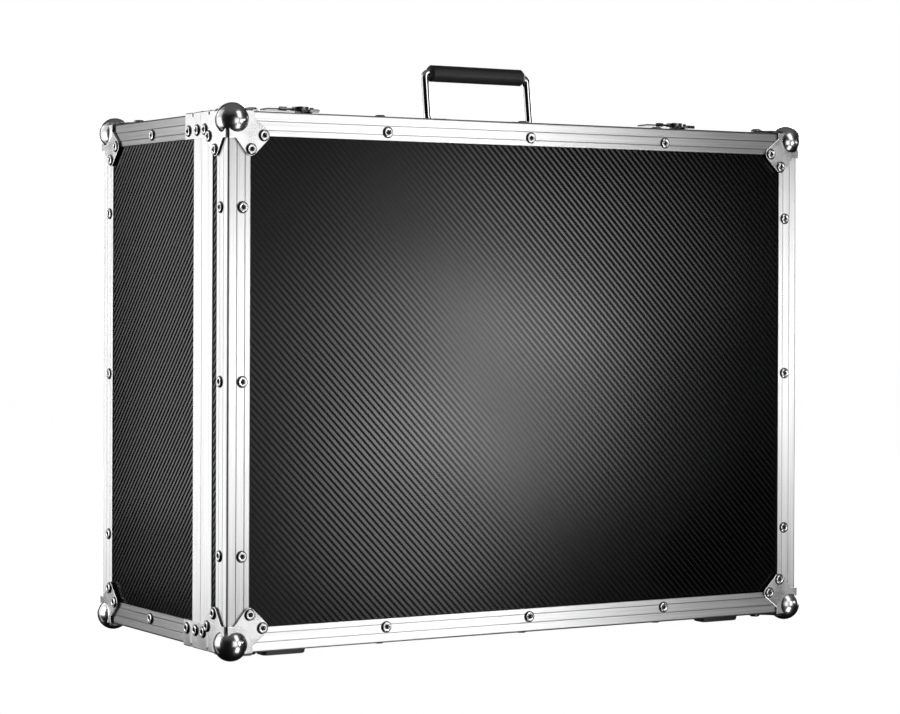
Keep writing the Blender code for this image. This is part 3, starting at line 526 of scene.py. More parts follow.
def arc(centre, radius, start, end, steps):
    """Points along an arc; angles in degrees."""
    turns = [math.radians(start + (end - start) * i / steps) for i in range(steps + 1)]
    return [(centre[0] + radius * math.cos(turn), centre[1] + radius * math.sin(turn)) for turn in turns]


def circle(count):
    """Equally spaced points round a circle of radius 1."""
    turns = [2 * math.pi * i / count for i in range(count)]
    return [(math.cos(turn), math.sin(turn)) for turn in turns]


def rectangle(a, b):
    """Outline of a rectangle from its two ranges."""
    return [(a[0], b[0]), (a[1], b[0]), (a[1], b[1]), (a[0], b[1])]


def rounded_outline(low, high, radius):
    """A rectangle with rounded corners."""
    left, right = low[0] + radius, high[0] - radius
    near, far = low[1] + radius, high[1] - radius
    points = []
    for start, centre in ((0, (right, far)), (90, (left, far)), (180, (left, near)), (270, (right, near))):
        points += arc(centre, radius, start, start + 90, 5)
    return points


def add_lathe(bm, profile, matrix, segments=RIVET_SEGMENTS, material=0):
    """Turns a profile of (radius, height) points, from the middle out, round the matrix's Z."""
    rings = []
    for radius, height in profile:
        points = [Vector((radius * a, radius * b, height)) for a, b in circle(segments if radius > 0 else 1)]
        rings.append([bm.verts.new(matrix @ point) for point in points])
    for inner, outer in zip(rings, rings[1:]):
        for i in range(segments):
            j = (i + 1) % segments
            outside = outer[i % len(outer)], outer[j % len(outer)]
            around = dict.fromkeys((inner[i % len(inner)], *outside, inner[j % len(inner)]))
            bm.faces.new(tuple(around)).material_index = material


def join_rings(bm, rings):
    """Closes a body over equal rings of vertices; its faces, the two ends first."""
    faces = [bm.faces.new(rings[0][::-1]), bm.faces.new(rings[-1])]
    for first, second in zip(rings, rings[1:]):
        for i in range(len(first)):
            j = (i + 1) % len(first)
            faces.append(bm.faces.new((first[i], first[j], second[j], second[i])))
    return faces


def add_prism(bm, outline, length, matrix):
    """An outline drawn in (a, b) and pulled along c."""
    rings = [[bm.verts.new(matrix @ Vector((a, b, c))) for a, b in outline] for c in (0.0, length)]
    return join_rings(bm, rings)


def add_plate(bm, outline, thickness, matrix, round_off=ROUND_OFF, rim_material=0):
    """A flat plate whose upper rim is rounded."""
    faces = add_prism(bm, outline, thickness, matrix)
    for face in faces[2:]:
        face.material_index = rim_material
    bmesh.ops.recalc_face_normals(bm, faces=faces)
    rim = list(faces[1].edges)
    bmesh.ops.bevel(bm, geom=rim, offset=round_off, segments=2, profile=0.5, affect="EDGES")


def add_bar(bm, start, end, radius, matrix, segments=16):
    """A round bar with chamfered ends between two points."""
    along = Vector(end) - Vector(start)
    length = along.length
    chamfer = min(0.15 * radius, 0.2 * length)
    profile = [(0.0, 0.0), (radius - chamfer, 0.0), (radius, chamfer),
               (radius, length - chamfer), (radius - chamfer, length), (0.0, length)]
    add_lathe(bm, profile, matrix @ on_face(start, along), segments)


def add_rivet(bm, matrix, steel, skirt, radius=RIVET_RADIUS):
    """A hollow rivet; its skirt is painted dark as painted shade, and the material of its dark bore comes
    after the steel.
    """
    for profile, material in ((RIVET_SKIRT, skirt), (RIVET_RIM, steel), (RIVET_BORE, steel + 1)):
        add_lathe(bm, [(r * radius, h * radius) for r, h in profile], matrix, material=material)


def add_small_rivets(bm, matrix, spots, height):
    """Small rivets on a plate, whose second and third material are theirs."""
    for x, y in spots:
        add_rivet(bm, matrix @ Matrix.Translation((x, y, height)), 1, 1, SMALL_RIVET_RADIUS)


def mesh_of(name, bm):
    """Makes a mesh from a bmesh, its faces turned outwards."""
    bmesh.ops.recalc_face_normals(bm, faces=bm.faces)
    mesh = bpy.data.meshes.new(name)
    bm.to_mesh(mesh)
    bm.free()
    return mesh


def add_object(name, data, matrix=Matrix()):
    """Puts an object into the scene."""
    thing = bpy.data.objects.new(name, data)
    bpy.context.scene.collection.objects.link(thing)
    thing.matrix_world = matrix
    return thing


def piece(name, mesh, materials, body, replaces=(), slot=None, sharp=True, bevel=0.0, matrix=Matrix()):
    """Makes an object from a mesh or a bmesh and lets it ride on a body."""
    if isinstance(mesh, bmesh.types.BMesh):
        mesh = mesh_of(name, mesh)
    thing = add_object(name, mesh, matrix)
    if not mesh.materials:
        for material in materials:
            mesh.materials.append(material)
    mesh.shade_smooth()
    if sharp:
        mesh.set_sharp_from_angle(angle=SHARP_ANGLE)
    if bevel:
        modifier = thing.modifiers.new("edges", "BEVEL")
        modifier.width = bevel
        modifier.segments = 2
        modifier.limit_method = "ANGLE"
        modifier.angle_limit = BEVEL_ANGLE
        modifier.harden_normals = True
    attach(thing, body)
    if replaces:
        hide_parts(*replaces)
    return thing


def detail(node, mesh, materials, body, slot="steel", **more):
    """A finer piece in place of one solid."""
    piece(f"{node}_detail", mesh, materials, body, (node,), slot, **more)


def paint_solids():
    """Finished materials for the solids that stay."""
    finished = dict.fromkeys(("body_back_panel", "lid_panel", "lid_wall_frame"), LAMINATE)
    finished.update(dict.fromkeys(("body_closing_frame", "lid_closing_frame"), ALUMINIUM_FRAME))
    for sides, aluminium in ((LEFT_RIGHT, ALUMINIUM_UPRIGHT), (BOTTOM_TOP, ALUMINIUM_ACROSS)):
        for side, _ in sides:
            finished[f"body_{side}_panel"] = LAMINATE
            finished[f"lid_angle_{side}"] = aluminium
            finished[f"back_angle_{side}"] = aluminium
    for side, _, level, _ in DEPTH_EDGES:
        finished[f"edge_angle_{level}_{side}"] = ALUMINIUM_DEPTH
    for node, material in finished.items():
        for material_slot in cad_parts[node].material_slots:
            material_slot.link = "OBJECT"
            material_slot.material = material


def tangent_angle(point, centre, radius):
    """Angle, in degrees, at which a line from a point touches a circle."""
    dx = point[0] - centre[0]
    dy = point[1] - centre[1]
    return math.degrees(math.atan2(dy, dx)) + math.degrees(math.acos(radius / math.hypot(dx, dy)))


def corner_outline():
    """One plate of a ball corner, drawn from the case's corner, with a lobe round each rivet."""
    step = (CORNER_REACH, CORNER_STEP)
    lobe = (LOBE_FAR, LOBE_NEAR)
    start = tangent_angle(step, lobe, LOBE_RADIUS)
    half = [(CORNER_REACH, 0.0), step] + arc(lobe, LOBE_RADIUS, start, 45, 8)
    return [(0.0, 0.0)] + half + [(b, a) for a, b in reversed(half)]


def corner_mesh():
    """Ball, three plates and their rivets over a corner at the origin, the case towards -X -Y -Z."""
    bm = bmesh.new()
    faces = (((0, -1, 0), (0, 0, -1), X), ((0, 0, -1), (-1, 0, 0), Y), ((-1, 0, 0), (0, -1, 0), Z))
    for a, b, c in faces:
        # The plates' rims take the dark skirt material: painted shade along their edges
        add_plate(bm, corner_outline(), CORNER_PLATE, axes(Vector(c) * GAP, a, b, c), FINE_ROUND_OFF, 4)
        for far, near in ((LOBE_FAR, LOBE_NEAR), (LOBE_NEAR, LOBE_FAR)):
            point = Vector(c) * (GAP + CORNER_PLATE) + Vector(a) * far + Vector(b) * near
            add_rivet(bm, on_face(point, c), 2, 4)
    centre = Matrix.Translation((-BALL_INSET, -BALL_INSET, -BALL_INSET))
    ball = bmesh.ops.create_uvsphere(bm, u_segments=BALL_SEGMENTS, v_segments=BALL_SEGMENTS // 2,
                                     radius=BALL_RADIUS, matrix=centre)["verts"]
    for vert in ball:
        for face in vert.link_faces:
            face.material_index = 1
    hidden = [vert for vert in ball if max(vert.co) < -BALL_HIDDEN]
    bmesh.ops.delete(bm, geom=hidden, context="VERTS")
    return mesh_of("ball_corner", bm)


def corner_turn(side_x, side_y, side_z):
    """Turns the corner piece, made for +X +Y +Z, to another corner of the case."""
    lower = side_z < 0
    quarters = ((1, 1), (-1, 1), (-1, -1), (1, -1)).index((side_x, side_y)) + lower
    return Matrix.Rotation(quarters * math.pi / 2, 4, "Z") @ Matrix.Rotation(lower * math.pi, 4, "X")


def make_ball_corners():
    """Eight ball corners in place of the plainer solids; the lid's plates lie over its braces."""
    mesh = corner_mesh()
    materials = (CORNER, POLISHED, RIVET, HOLE, SKIRT_PAINTED_SHADE)
    for shell, side_y, y in (("lid", -1, FRONT), ("body", 1, BACK)):
        for side, side_x, level, side_z in DEPTH_EDGES:
            place = Matrix.Translation((side_x * SIDE, y, MIDDLE_Z + side_z * HALF_HEIGHT))
            matrix = place @ corner_turn(side_x, side_y, side_z)
            detail(f"{shell}_ball_corner_{level}_{side}", mesh, materials, shell, matrix=matrix)


def add_brace(bm, corner, inward, start, end, notch):
    """A brace bent round a depth edge, with a notch in its bend."""
    side_x, side_z = inward
    outer = -GAP - BRACE_PLATE
    bend = arc((0.0, 0.0), GAP + BRACE_PLATE, 270, 180, 4)
    full = [(BRACE_LEG, outer)] + bend
    full += [(outer, BRACE_LEG), (-GAP, BRACE_LEG), (-GAP, -GAP), (BRACE_LEG, -GAP)]
    flat_a = rectangle((BRACE_LEG, BRACE_NOTCH_DEPTH), (outer, -GAP))
    flat_b = [(b, a) for a, b in flat_a]
    notch_start = notch - BRACE_NOTCH / 2
    notch_end = notch + BRACE_NOTCH / 2
    notched = (notch_start, notch_end, (flat_a, flat_b))
    runs = ((start, notch_start, (full,)), notched, (notch_end, end, (full,)))
    for low, high, outlines in runs:
        matrix = axes((corner[0], low, corner[1]), (side_x, 0, 0), (0, 0, side_z), Y)
        for outline in outlines:
            add_prism(bm, outline, high - low, matrix)


def make_braces():
    """Braces over the parting line on each depth edge; the lid's end under the corner plates."""
    body_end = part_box("body_brace_top_left")[1].y
    length = body_end - BODY_START
    body_rivets = [BODY_START + share * length for share in BODY_BRACE_RIVETS]
    runs = (("lid", BRACE_UNDER_PLATE, LID_END, LID_BRACE_NOTCH, (LID_BRACE_RIVET,)),
            ("body", BODY_START, body_end, BODY_START + BODY_BRACE_NOTCH * length, body_rivets))
    proud = GAP + BRACE_PLATE
    for shell, start, end, notch, rivets in runs:
        for side, side_x, level, side_z in DEPTH_EDGES:
            bm = bmesh.new()
            x = side_x * SIDE
            z = MIDDLE_Z + side_z * HALF_HEIGHT
            add_brace(bm, (x, z), (-side_x, -side_z), start, end, notch)
            for y in rivets:
                on_side = (x + side_x * proud, y, z - side_z * BRACE_RIVET_INSET)
                on_level = (x - side_x * BRACE_RIVET_INSET, y, z + side_z * proud)
                add_rivet(bm, on_face(on_side, (side_x, 0, 0)), 1, 3)
                add_rivet(bm, on_face(on_level, (0, 0, side_z)), 1, 3)
            detail(f"{shell}_brace_{level}_{side}", bm, (PLATE, RIVET, HOLE, SKIRT_PAINTED_SHADE), shell)


def make_skins():
    """Laminate skins on the lid's walls and the body's ends and bottom, between the angles.

    The folded handle lies on the body's top, so the plain board stays there.
    """
    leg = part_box("back_angle_left")[1].x + SIDE
    lid_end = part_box("lid_closing_frame")[0].y - GAP
    runs = (("lid", FRONT + leg + GAP, lid_end, SKIN_DROP),
            ("body", frame_high.y + GAP, BACK - leg - GAP, leg + GAP))
    walls = ((LEFT_RIGHT, X, Z, SIDE, HALF_HEIGHT), (BOTTOM_TOP, Z, X, HALF_HEIGHT, SIDE))
    for shell, start, end, inset in runs:
        half = (end - start) / 2
        for sides, across, along, reach, half_run in walls:
            run = half_run - inset
            outline = rectangle((-half, half), (-run, run))
            depth = reach - SKIN_DROP - SKIN_THICKNESS
            for side, sign in sides:
                if (shell, side) == ("body", "top"):
                    continue
                outward = sign * Vector(across)
                centre = Vector((0, (start + end) / 2, MIDDLE_Z)) + outward * depth
                bm = bmesh.new()
                add_plate(bm, outline, SKIN_THICKNESS, axes(centre, Y, along, outward), SKIN_ROUND_OFF)
                piece(f"{shell}_{side}_skin", bm, (LAMINATE,), shell, slot="laminate")


def frame_rivets(face_y, outward_y):
    """Places of the rivets in the frame round the front or the back face."""
    places = []
    depth = face_y - outward_y * RIVET_INSET
    for number in (-1, 0, 1):
        x = number * RIVET_SPACING
        z = MIDDLE_Z + number * RIVET_SPACING
        for _, side_z in BOTTOM_TOP:
            edge = MIDDLE_Z + side_z * HALF_HEIGHT
            places.append(((x, face_y, edge - side_z * RIVET_INSET), (0, outward_y, 0)))
            places.append(((x, depth, edge), (0, 0, side_z)))
        for _, side_x in LEFT_RIGHT:
            places.append(((side_x * (SIDE - RIVET_INSET), face_y, z), (0, outward_y, 0)))
            places.append(((side_x * SIDE, depth, z), (side_x, 0, 0)))
    return places


def edge_rivets():
    """Places of the rivet half-way along each depth edge's angle, in its leg on the end of the case."""
    low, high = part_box("edge_angle_top_left")
    places = []
    for _, side_x, _, side_z in DEPTH_EDGES:
        z = MIDDLE_Z + side_z * (HALF_HEIGHT - RIVET_INSET)
        places.append(((side_x * SIDE, (low.y + high.y) / 2, z), (side_x, 0, 0)))
    return places


def make_frame_rivets():
    """Rivets that hold the angles, one object for each half of the case."""
    for shell, places in (("lid", frame_rivets(FRONT, -1)), ("body", frame_rivets(BACK, 1) + edge_rivets())):
        bm = bmesh.new()
        for point, normal in places:
            add_rivet(bm, on_face(point, normal), 0, 2)
        piece(f"{shell}_frame_rivets", bm, (RIVET, HOLE, SKIRT_PAINTED_SHADE), shell, slot="steel")


def make_bail():
    """The bent wire of the handle, as one smooth tube."""
    half = HANDLE_SPAN / 2
    right = [(half - WIRE_STUB, 0.0), (half - WIRE_FOOT_BEND - 0.001, 0.0)]
    right += arc((half - WIRE_FOOT_BEND, WIRE_FOOT_BEND), WIRE_FOOT_BEND, 270, 360, 10)
    right += arc((half - WIRE_TOP_BEND, HANDLE_RISE - WIRE_TOP_BEND), WIRE_TOP_BEND, 0, 90, 10)
    path = right + [(-x, z) for x, z in reversed(right)]
    bm = bmesh.new()
    rings = []
    for i, (x, z) in enumerate(path):
        before = path[max(i - 1, 0)]
        after = path[min(i + 1, len(path) - 1)]
        run = Vector((after[0] - before[0], 0, after[1] - before[1])).normalized()
        out = Vector((-run.z, 0, run.x))
        points = [Vector((x, 0, z)) + (out * a + Vector(Y) * b) * WIRE_RADIUS for a, b in circle(WIRE_SIDES)]
        rings.append([bm.verts.new(HANDLE_FRAME @ point) for point in points])
    join_rings(bm, rings)
    piece("handle_wire", bm, (CHROME,), "handle", ("handle_bail",), "chrome")


def make_grip():
    """The ribbed rubber tube round the wire."""
    half = GRIP_LENGTH / 2
    body = half - GRIP_CHAMFER
    profile = [(WIRE_RADIUS + GRIP_BORE_GAP, half), (GRIP_RADIUS - GRIP_CHAMFER * 0.8, half)]
    profile += [(GRIP_RADIUS - GRIP_CHAMFER * 0.25, half - GRIP_CHAMFER * 0.6), (GRIP_RADIUS, body)]
    ribs = round(2 * body / GRIP_RIB_PITCH)
    points = ribs * GRIP_RIB_POINTS
    for i in range(points):
        share = (i + 1) / points
        dip = GRIP_RIB_DEPTH * (1 - math.cos(2 * math.pi * share * ribs)) / 2
        profile.append((GRIP_RADIUS - dip, body - 2 * body * share))
    profile += [(r, -h) for r, h in reversed(profile[:3])]
    bm = bmesh.new()
    add_lathe(bm, profile, HANDLE_FRAME @ axes((0, 0, HANDLE_RISE), Y, Z, X), 40)
    piece("handle_rubber_grip", bm, (RUBBER,), "handle", ("handle_grip",), "rubber")


def make_handle_base():
    """The plate under the handle, its two saddles and its screws."""
    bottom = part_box("handle_base")[0].z
    matrix = Matrix.Translation((0, HANDLE_Y, bottom))
    half = BASE_LENGTH / 2
    bm = bmesh.new()
    outline = rounded_outline((-half, -BASE_DEPTH / 2), (half, BASE_DEPTH / 2), 2 * WIRE_RADIUS)
    add_plate(bm, outline, BASE_PLATE, matrix, FINE_ROUND_OFF)
    bore = WIRE_RADIUS + GAP
    crown = bore + SADDLE_WALL
    drop = HANDLE_Z - bottom - BASE_PLATE / 2
    saddle_end = HANDLE_SPAN / 2 - SADDLE_INSET
    ring = arc((0.0, 0.0), crown, 0, 180, 14) + [(-crown, -drop), (-bore, -drop)]
    ring += arc((0.0, 0.0), bore, 180, 0, 14) + [(bore, -drop), (crown, -drop)]
    for near in (-saddle_end, saddle_end - SADDLE_LENGTH):
        add_prism(bm, ring, SADDLE_LENGTH, axes((near, HANDLE_Y, HANDLE_Z), Y, Z, X))
    spots = [(x * half, y * BASE_DEPTH) for x in BASE_SCREWS_X for y in BASE_SCREWS_Y]
    add_small_rivets(bm, matrix, spots, BASE_PLATE)
    detail("handle_base", bm, (PLATE, RIVET, HOLE), "body")


def add_latch_base(bm, place):
    """The plate of a latch, with its rivets, two ears and the hook's pin."""
    front = BODY_START + LATCH_PLATE_EDGE - DRUM_Y
    outline = rounded_outline((LATCH_PLATE_LEFT, front), (LATCH_PLATE_RIGHT, LATCH_PLATE_BACK), LATCH_CORNER)
    add_plate(bm, outline, LATCH_PLATE, place @ lift(GAP))
    dish = [(HUB_RADIUS, 0.0)] + [(DRUM_RADIUS + more, height) for more, height in DISH]
    add_lathe(bm, dish, place @ lift(GAP + LATCH_PLATE), 48)
    axis = (-HOOK_AXIS_AHEAD, HOOK_AXIS_RISE)
    low = GAP + LATCH_PLATE / 2
    ear = [(axis[0] + HOOK_KNUCKLE, low)] + arc(axis, HOOK_KNUCKLE, 0, 180, 12)
    ear.append((axis[0] - HOOK_KNUCKLE, low))
    ear_start = HOOK_WIDTH / 2 + EAR_CLEARANCE
    for start in (ear_start, -ear_start - EAR):
        add_prism(bm, ear, EAR, place @ axes((start, 0, 0), Y, Z, X))
    reach = ear_start + EAR + PIN_PROUD
    add_bar(bm, (-reach, *axis), (reach, *axis), HOOK_PIN_RADIUS, place)
    spots = [(x, y) for x in (LATCH_PLATE_LEFT + LATCH_CORNER, LATCH_PLATE_RIGHT - LATCH_CORNER)
             for y in (front + LATCH_CORNER, LATCH_PLATE_BACK - LATCH_CORNER)]
    add_small_rivets(bm, place, spots, GAP + LATCH_PLATE)


def add_latch_rotor(bm, place):
    """The drum that turns, with a raised nub, and the wing's pin."""
    floor = GAP + LATCH_PLATE + GAP
    low = DRUM_TOP - DRUM_THICKNESS
    profile = [(NUB_RADIUS * r, DRUM_TOP + NUB_RISE * h) for r, h in NUB_PROFILE]
    for inward, down in ((2.4, 0.0), (0.9, 0.2), (0.2, 0.9), (0.0, 2.0)):
        profile.append((DRUM_RADIUS - inward * DRUM_EDGE, DRUM_TOP - down * DRUM_EDGE))
    profile += [(DRUM_RADIUS, low + DRUM_EDGE), (DRUM_RADIUS - DRUM_EDGE, low),
                (HUB_RADIUS, low), (HUB_RADIUS, floor), (0.0, floor)]
    add_lathe(bm, profile, place, 56)
    for side_x, knuckle in ((-1, WING_LEFT_KNUCKLE), (1, WING_RIGHT_KNUCKLE)):
        start = (side_x * (DRUM_RADIUS - WING_PIN_IN_DRUM), 0, WING_AXIS_RISE)
        add_bar(bm, start, (side_x * (knuckle[1] + PIN_PROUD), 0, WING_AXIS_RISE), WING_PIN_RADIUS, place)


def add_latch_wing(bm, place):
    """The folding wing round the back of the drum, with its knuckles and a pressed rib."""
    back = WING_REACH - WING_CORNER
    room = DRUM_RADIUS + WING_CLEARANCE
    dip = math.degrees(math.asin(WING_START / room))
    outline = arc((WING_RIGHT - WING_CORNER, back), WING_CORNER, 0, 90, 10)
    outline += arc((-WING_LEFT + WING_CORNER, back), WING_CORNER, 90, 180, 10)
    outline += [(-WING_LEFT, WING_START)]
    outline += arc((0.0, 0.0), room, 180 - dip, dip, 24)
    outline += [(WING_RIGHT, WING_START)]
    low = place @ lift(WING_BOTTOM)
    add_plate(bm, outline, WING_PLATE, low)
    for side_x, (near, far) in ((-1, WING_LEFT_KNUCKLE), (1, WING_RIGHT_KNUCKLE)):
        start, end = sorted((side_x * near, side_x * far))
        add_prism(bm, rectangle((start, end), (0.0, 2 * WING_START)), WING_PLATE, low)
        add_bar(bm, (start, 0, WING_AXIS_RISE), (end, 0, WING_AXIS_RISE), WING_KNUCKLE, place, 24)
    middle = (WING_RIGHT - WING_LEFT) / 2
    near, far = (WING_REACH - inset for inset in RIB_FROM_EDGE)
    rib = rounded_outline((middle - RIB_HALF, near), (middle + RIB_HALF, far), RIB_CORNER)
    add_plate(bm, rib, RIB_RISE, low @ lift(WING_PLATE), FINE_ROUND_OFF)


def add_latch_hook(bm, place):
    """The hook: a knuckle on its pin, an arm across the parting line and a bent lip."""
    half = HOOK_WIDTH / 2
    half_plate = HOOK_PLATE / 2
    lip = -HOOK_REACH + HOOK_PLATE
    profile = [(0.0, half_plate)] + arc((lip, -half_plate), HOOK_PLATE, 90, 180, 6)
    profile += [(-HOOK_REACH, -half_plate - HOOK_LIP_DROP), (lip, -half_plate - HOOK_LIP_DROP)]
    profile += [(lip, -half_plate), (0.0, -half_plate)]
    pin = place @ Matrix.Translation((0, -HOOK_AXIS_AHEAD, HOOK_AXIS_RISE))
    turned = pin @ Matrix.Rotation(-HOOK_RAISED, 4, "X")
    add_prism(bm, profile, HOOK_WIDTH, turned @ axes((-half, 0, 0), Y, Z, X))
    add_bar(bm, (-half, 0, 0), (half, 0, 0), HOOK_KNUCKLE, turned, 24)


def add_latch_keeper(bm, place):
    """The plate on the lid, with the ridge for the hook and two rivets."""
    back = LID_END - DRUM_Y - KEEPER_EDGE
    half = KEEPER_WIDTH / 2
    outline = rounded_outline((-half, back - KEEPER_DEPTH), (half, back), LATCH_CORNER)
    add_plate(bm, outline, LATCH_PLATE, place @ lift(GAP))
    start = -HOOK_AXIS_AHEAD - HOOK_REACH + HOOK_PLATE + RIDGE_CLEARANCE
    low = GAP + LATCH_PLATE / 2
    top = GAP + LATCH_PLATE + RIDGE_RISE
    round_half = RIDGE_THICKNESS / 2
    ridge = [(start, low), (start + RIDGE_THICKNESS, low)]
    ridge += arc((start + round_half, top - round_half), round_half, 0, 180, 8)
    add_prism(bm, ridge, RIDGE_WIDTH, place @ axes((-RIDGE_WIDTH / 2, 0, 0), Y, Z, X))
    spots = [(side_x * (half - LATCH_CORNER), back - KEEPER_DEPTH / 2) for side_x in (-1, 1)]
    add_small_rivets(bm, place, spots, GAP + LATCH_PLATE)


def make_latches():
    """Two equal latches on the top edge."""
    for side, x in DRUM_X.items():
        for kind, add_shape, body, materials, bevel in (
                ("base", add_latch_base, "body", (LATCH, RIVET, HOLE), 0.0),
                ("rotor", add_latch_rotor, f"latch_{side}_rotor", (LATCH,), 0.0),
                ("wing", add_latch_wing, f"latch_{side}_wing", (LATCH,), 0.0),
                ("hook", add_latch_hook, f"latch_{side}_hook", (LATCH,), HOOK_BEVEL),
                ("keeper", add_latch_keeper, "lid", (LATCH, RIVET, HOLE), 0.0)):
            bm = bmesh.new()
            add_shape(bm, Matrix.Translation((x, DRUM_Y, TOP)))
            detail(f"latch_{kind}_{side}", bm, materials, body, bevel=bevel)


def make_hinge_leaf(node, body, place, side_y, first):
    """One leaf under the case, with its small rivets and every second knuckle from the first."""
    half = HINGE_LENGTH / 2
    knuckle = HINGE_LENGTH / HINGE_KNUCKLES
    upside = place @ lift(HINGE_DROP - GAP) @ Matrix.Rotation(math.pi, 4, "X")
    flat = sorted((-side_y * (HINGE_BARREL + GAP), -side_y * HINGE_LEAF_WIDTH))
    root = sorted((-side_y * HINGE_ROOT, -side_y * (HINGE_BARREL + 2 * GAP)))
    bm = bmesh.new()
    add_plate(bm, rectangle((-half, half), flat), HINGE_LEAF, upside)
    for number in range(first, HINGE_KNUCKLES, 2):
        start = -half + number * knuckle + (GAP if number > 0 else 0)
        end = -half + (number + 1) * knuckle - (GAP if number < HINGE_KNUCKLES - 1 else 0)
        add_bar(bm, (start, 0, 0), (end, 0, 0), HINGE_BARREL, place, 28)
        add_prism(bm, rectangle((start, end), root), HINGE_LEAF, upside)
    if side_y > 0:
        add_bar(bm, (-half + GAP, 0, 0), (half - GAP, 0, 0), HINGE_PIN, place)
    y = -side_y * (HINGE_BARREL + HINGE_LEAF_WIDTH) / 2
    add_small_rivets(bm, upside, [(share * half, y) for share in HINGE_RIVETS], HINGE_LEAF)
    detail(node, bm, (PLATE, RIVET, HOLE), body)


def make_hinges():
    """Two hinges under the bottom edge; the body's leaf has the outer knuckles and the pin."""
    for side, side_x in LEFT_RIGHT:
        place = Matrix.Translation((side_x * HINGE_X, HINGE_Y, BOTTOM - HINGE_DROP))
        make_hinge_leaf(f"hinge_body_leaf_{side}", "body", place, 1, 0)
        make_hinge_leaf(f"hinge_lid_leaf_{side}", "lid", place, -1, 1)


def make_foot(node, body):
    """A rubber foot, with a screw in a cup at either end."""
    low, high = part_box(node)
    middle = (low + high) / 2
    half = (high - low) / 2
    height = high.z - low.z
    place = Matrix.Translation((middle.x, middle.y, high.z)) @ Matrix.Rotation(math.pi, 4, "X")
    bm = bmesh.new()
    rings = []
    for inward, down in FOOT_PROFILE:
        corner = Vector((half.x - FOOT_TAPER * inward, half.y - FOOT_TAPER * inward))
        outline = rounded_outline(-corner, corner, FOOT_CORNER)
        rings.append([bm.verts.new(place @ Vector((a, b, height * down))) for a, b in outline])
    join_rings(bm, rings)
    for side_x in (-1, 1):
        cup = place @ Matrix.Translation((side_x * (half.x - FOOT_SCREW_INSET), 0, height))
        add_lathe(bm, FOOT_CUP, cup, material=1)
    detail(node, bm, (RUBBER, RIVET), body, "rubber")


def make_feet():
    """Two feet under the lid's front edge and two under the body's back edge."""
    for shell, body in (("front", "lid"), ("back", "body")):
        for side, _ in LEFT_RIGHT:
            make_foot(f"foot_{shell}_{side}", body)


def make_lid_foam():
    """Egg-crate foam behind the lid's panel."""
    low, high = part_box("lid_foam_pad")
    size = high - low
    count_x = round(size.x / EGG_PITCH) * EGG_STEPS
    count_z = round(size.z / EGG_PITCH) * EGG_STEPS
    bm = bmesh.new()
    grid = []
    for i in range(count_x + 1):
        column = []
        for k in range(count_z + 1):
            wave = math.cos(2 * math.pi * i / EGG_STEPS) * math.cos(2 * math.pi * k / EGG_STEPS)
            on_rim = min(i, count_x - i, k, count_z - k) == 0
            depth = size.y * (1.0 if on_rim else 1 - EGG_WAVE + EGG_WAVE * wave)
            point = (low.x + i / count_x * size.x, low.y + depth, low.z + k / count_z * size.z)
            column.append(bm.verts.new(point))
        grid.append(column)
    for left, right in zip(grid, grid[1:]):
        for k in range(count_z):
            bm.faces.new((left[k], right[k], right[k + 1], left[k + 1]))
    border = [column[0] for column in grid] + grid[-1][1:]
    border += [column[-1] for column in grid[-2::-1]] + grid[0][-2:0:-1]
    back = [bm.verts.new((vert.co.x, low.y, vert.co.z)) for vert in border]
    for i in range(len(border)):
        j = (i + 1) % len(border)
        bm.faces.new((border[i], border[j], back[j], back[i]))
    bm.faces.new(back)
    pad = piece("lid_egg_crate_foam", bm, (FOAM,), "lid", ("lid_foam_pad",), "foam", sharp=False)


def make_body_foam():
    """Five foam sheets that line the body, softened along their edges."""
    low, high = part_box("body_foam_lining")
    inner_low = low + Vector((SHEET, SHEET, SHEET))
    inner_high = high - Vector((SHEET, SHEET, SHEET))
    sheets = {
        "left": (low, (inner_low.x, high.y, high.z)),
        "right": ((inner_high.x, low.y, low.z), high),
        "bottom": ((inner_low.x, low.y, low.z), (inner_high.x, high.y, inner_low.z)),
        "top": ((inner_low.x, low.y, inner_high.z), (inner_high.x, high.y, high.z)),
        "back": ((inner_low.x, inner_high.y, inner_low.z), (inner_high.x, high.y, inner_high.z)),
    }
    for name, corners in sheets.items():
        near, far = map(Vector, corners)
        bm = bmesh.new()
        size = Matrix.Diagonal((*(far - near), 1.0))
        bmesh.ops.create_cube(bm, size=1.0, matrix=Matrix.Translation((near + far) / 2) @ size)
        edges = list(bm.edges)
        bmesh.ops.bevel(bm, geom=edges, offset=SHEET_ROUND_OFF, segments=3, profile=0.5, affect="EDGES")
        sheet = piece(f"body_foam_{name}", bm, (FOAM,), "body", ("body_foam_lining",), "foam")


def make_camera():
    """The camera of the photograph."""
    data = bpy.data.cameras.new("camera")
    data.sensor_width = CAMERA_SENSOR
    data.lens = CAMERA_LENS
    data.shift_y = CAMERA_SHIFT_Y
    data.clip_start, data.clip_end = CAMERA_RANGE
    ahead = Vector((math.sin(CAMERA_YAW), math.cos(CAMERA_YAW), 0))
    right = Vector((math.cos(CAMERA_YAW), -math.sin(CAMERA_YAW), 0))
    turned_right = math.cos(CAMERA_ROLL) * right + math.sin(CAMERA_ROLL) * Vector(Z)
    turned_up = -math.sin(CAMERA_ROLL) * right + math.cos(CAMERA_ROLL) * Vector(Z)
    camera = add_object("camera", data, axes(CAMERA_PLACE, turned_right, turned_up, -ahead))
    bpy.context.scene.camera = camera


def make_light(name, place, target, size, power, shape="RECTANGLE"):
    """A soft lamp that isn't seen itself."""
    data = bpy.data.lights.new(name, "AREA")
    data.shape = shape
    data.size, data.size_y = size
    data.energy = power
    turn = (Vector(target) - Vector(place)).to_track_quat("-Z", "Y").to_matrix().to_4x4()
    add_object(name, data, Matrix.Translation(place) @ turn).visible_camera = False


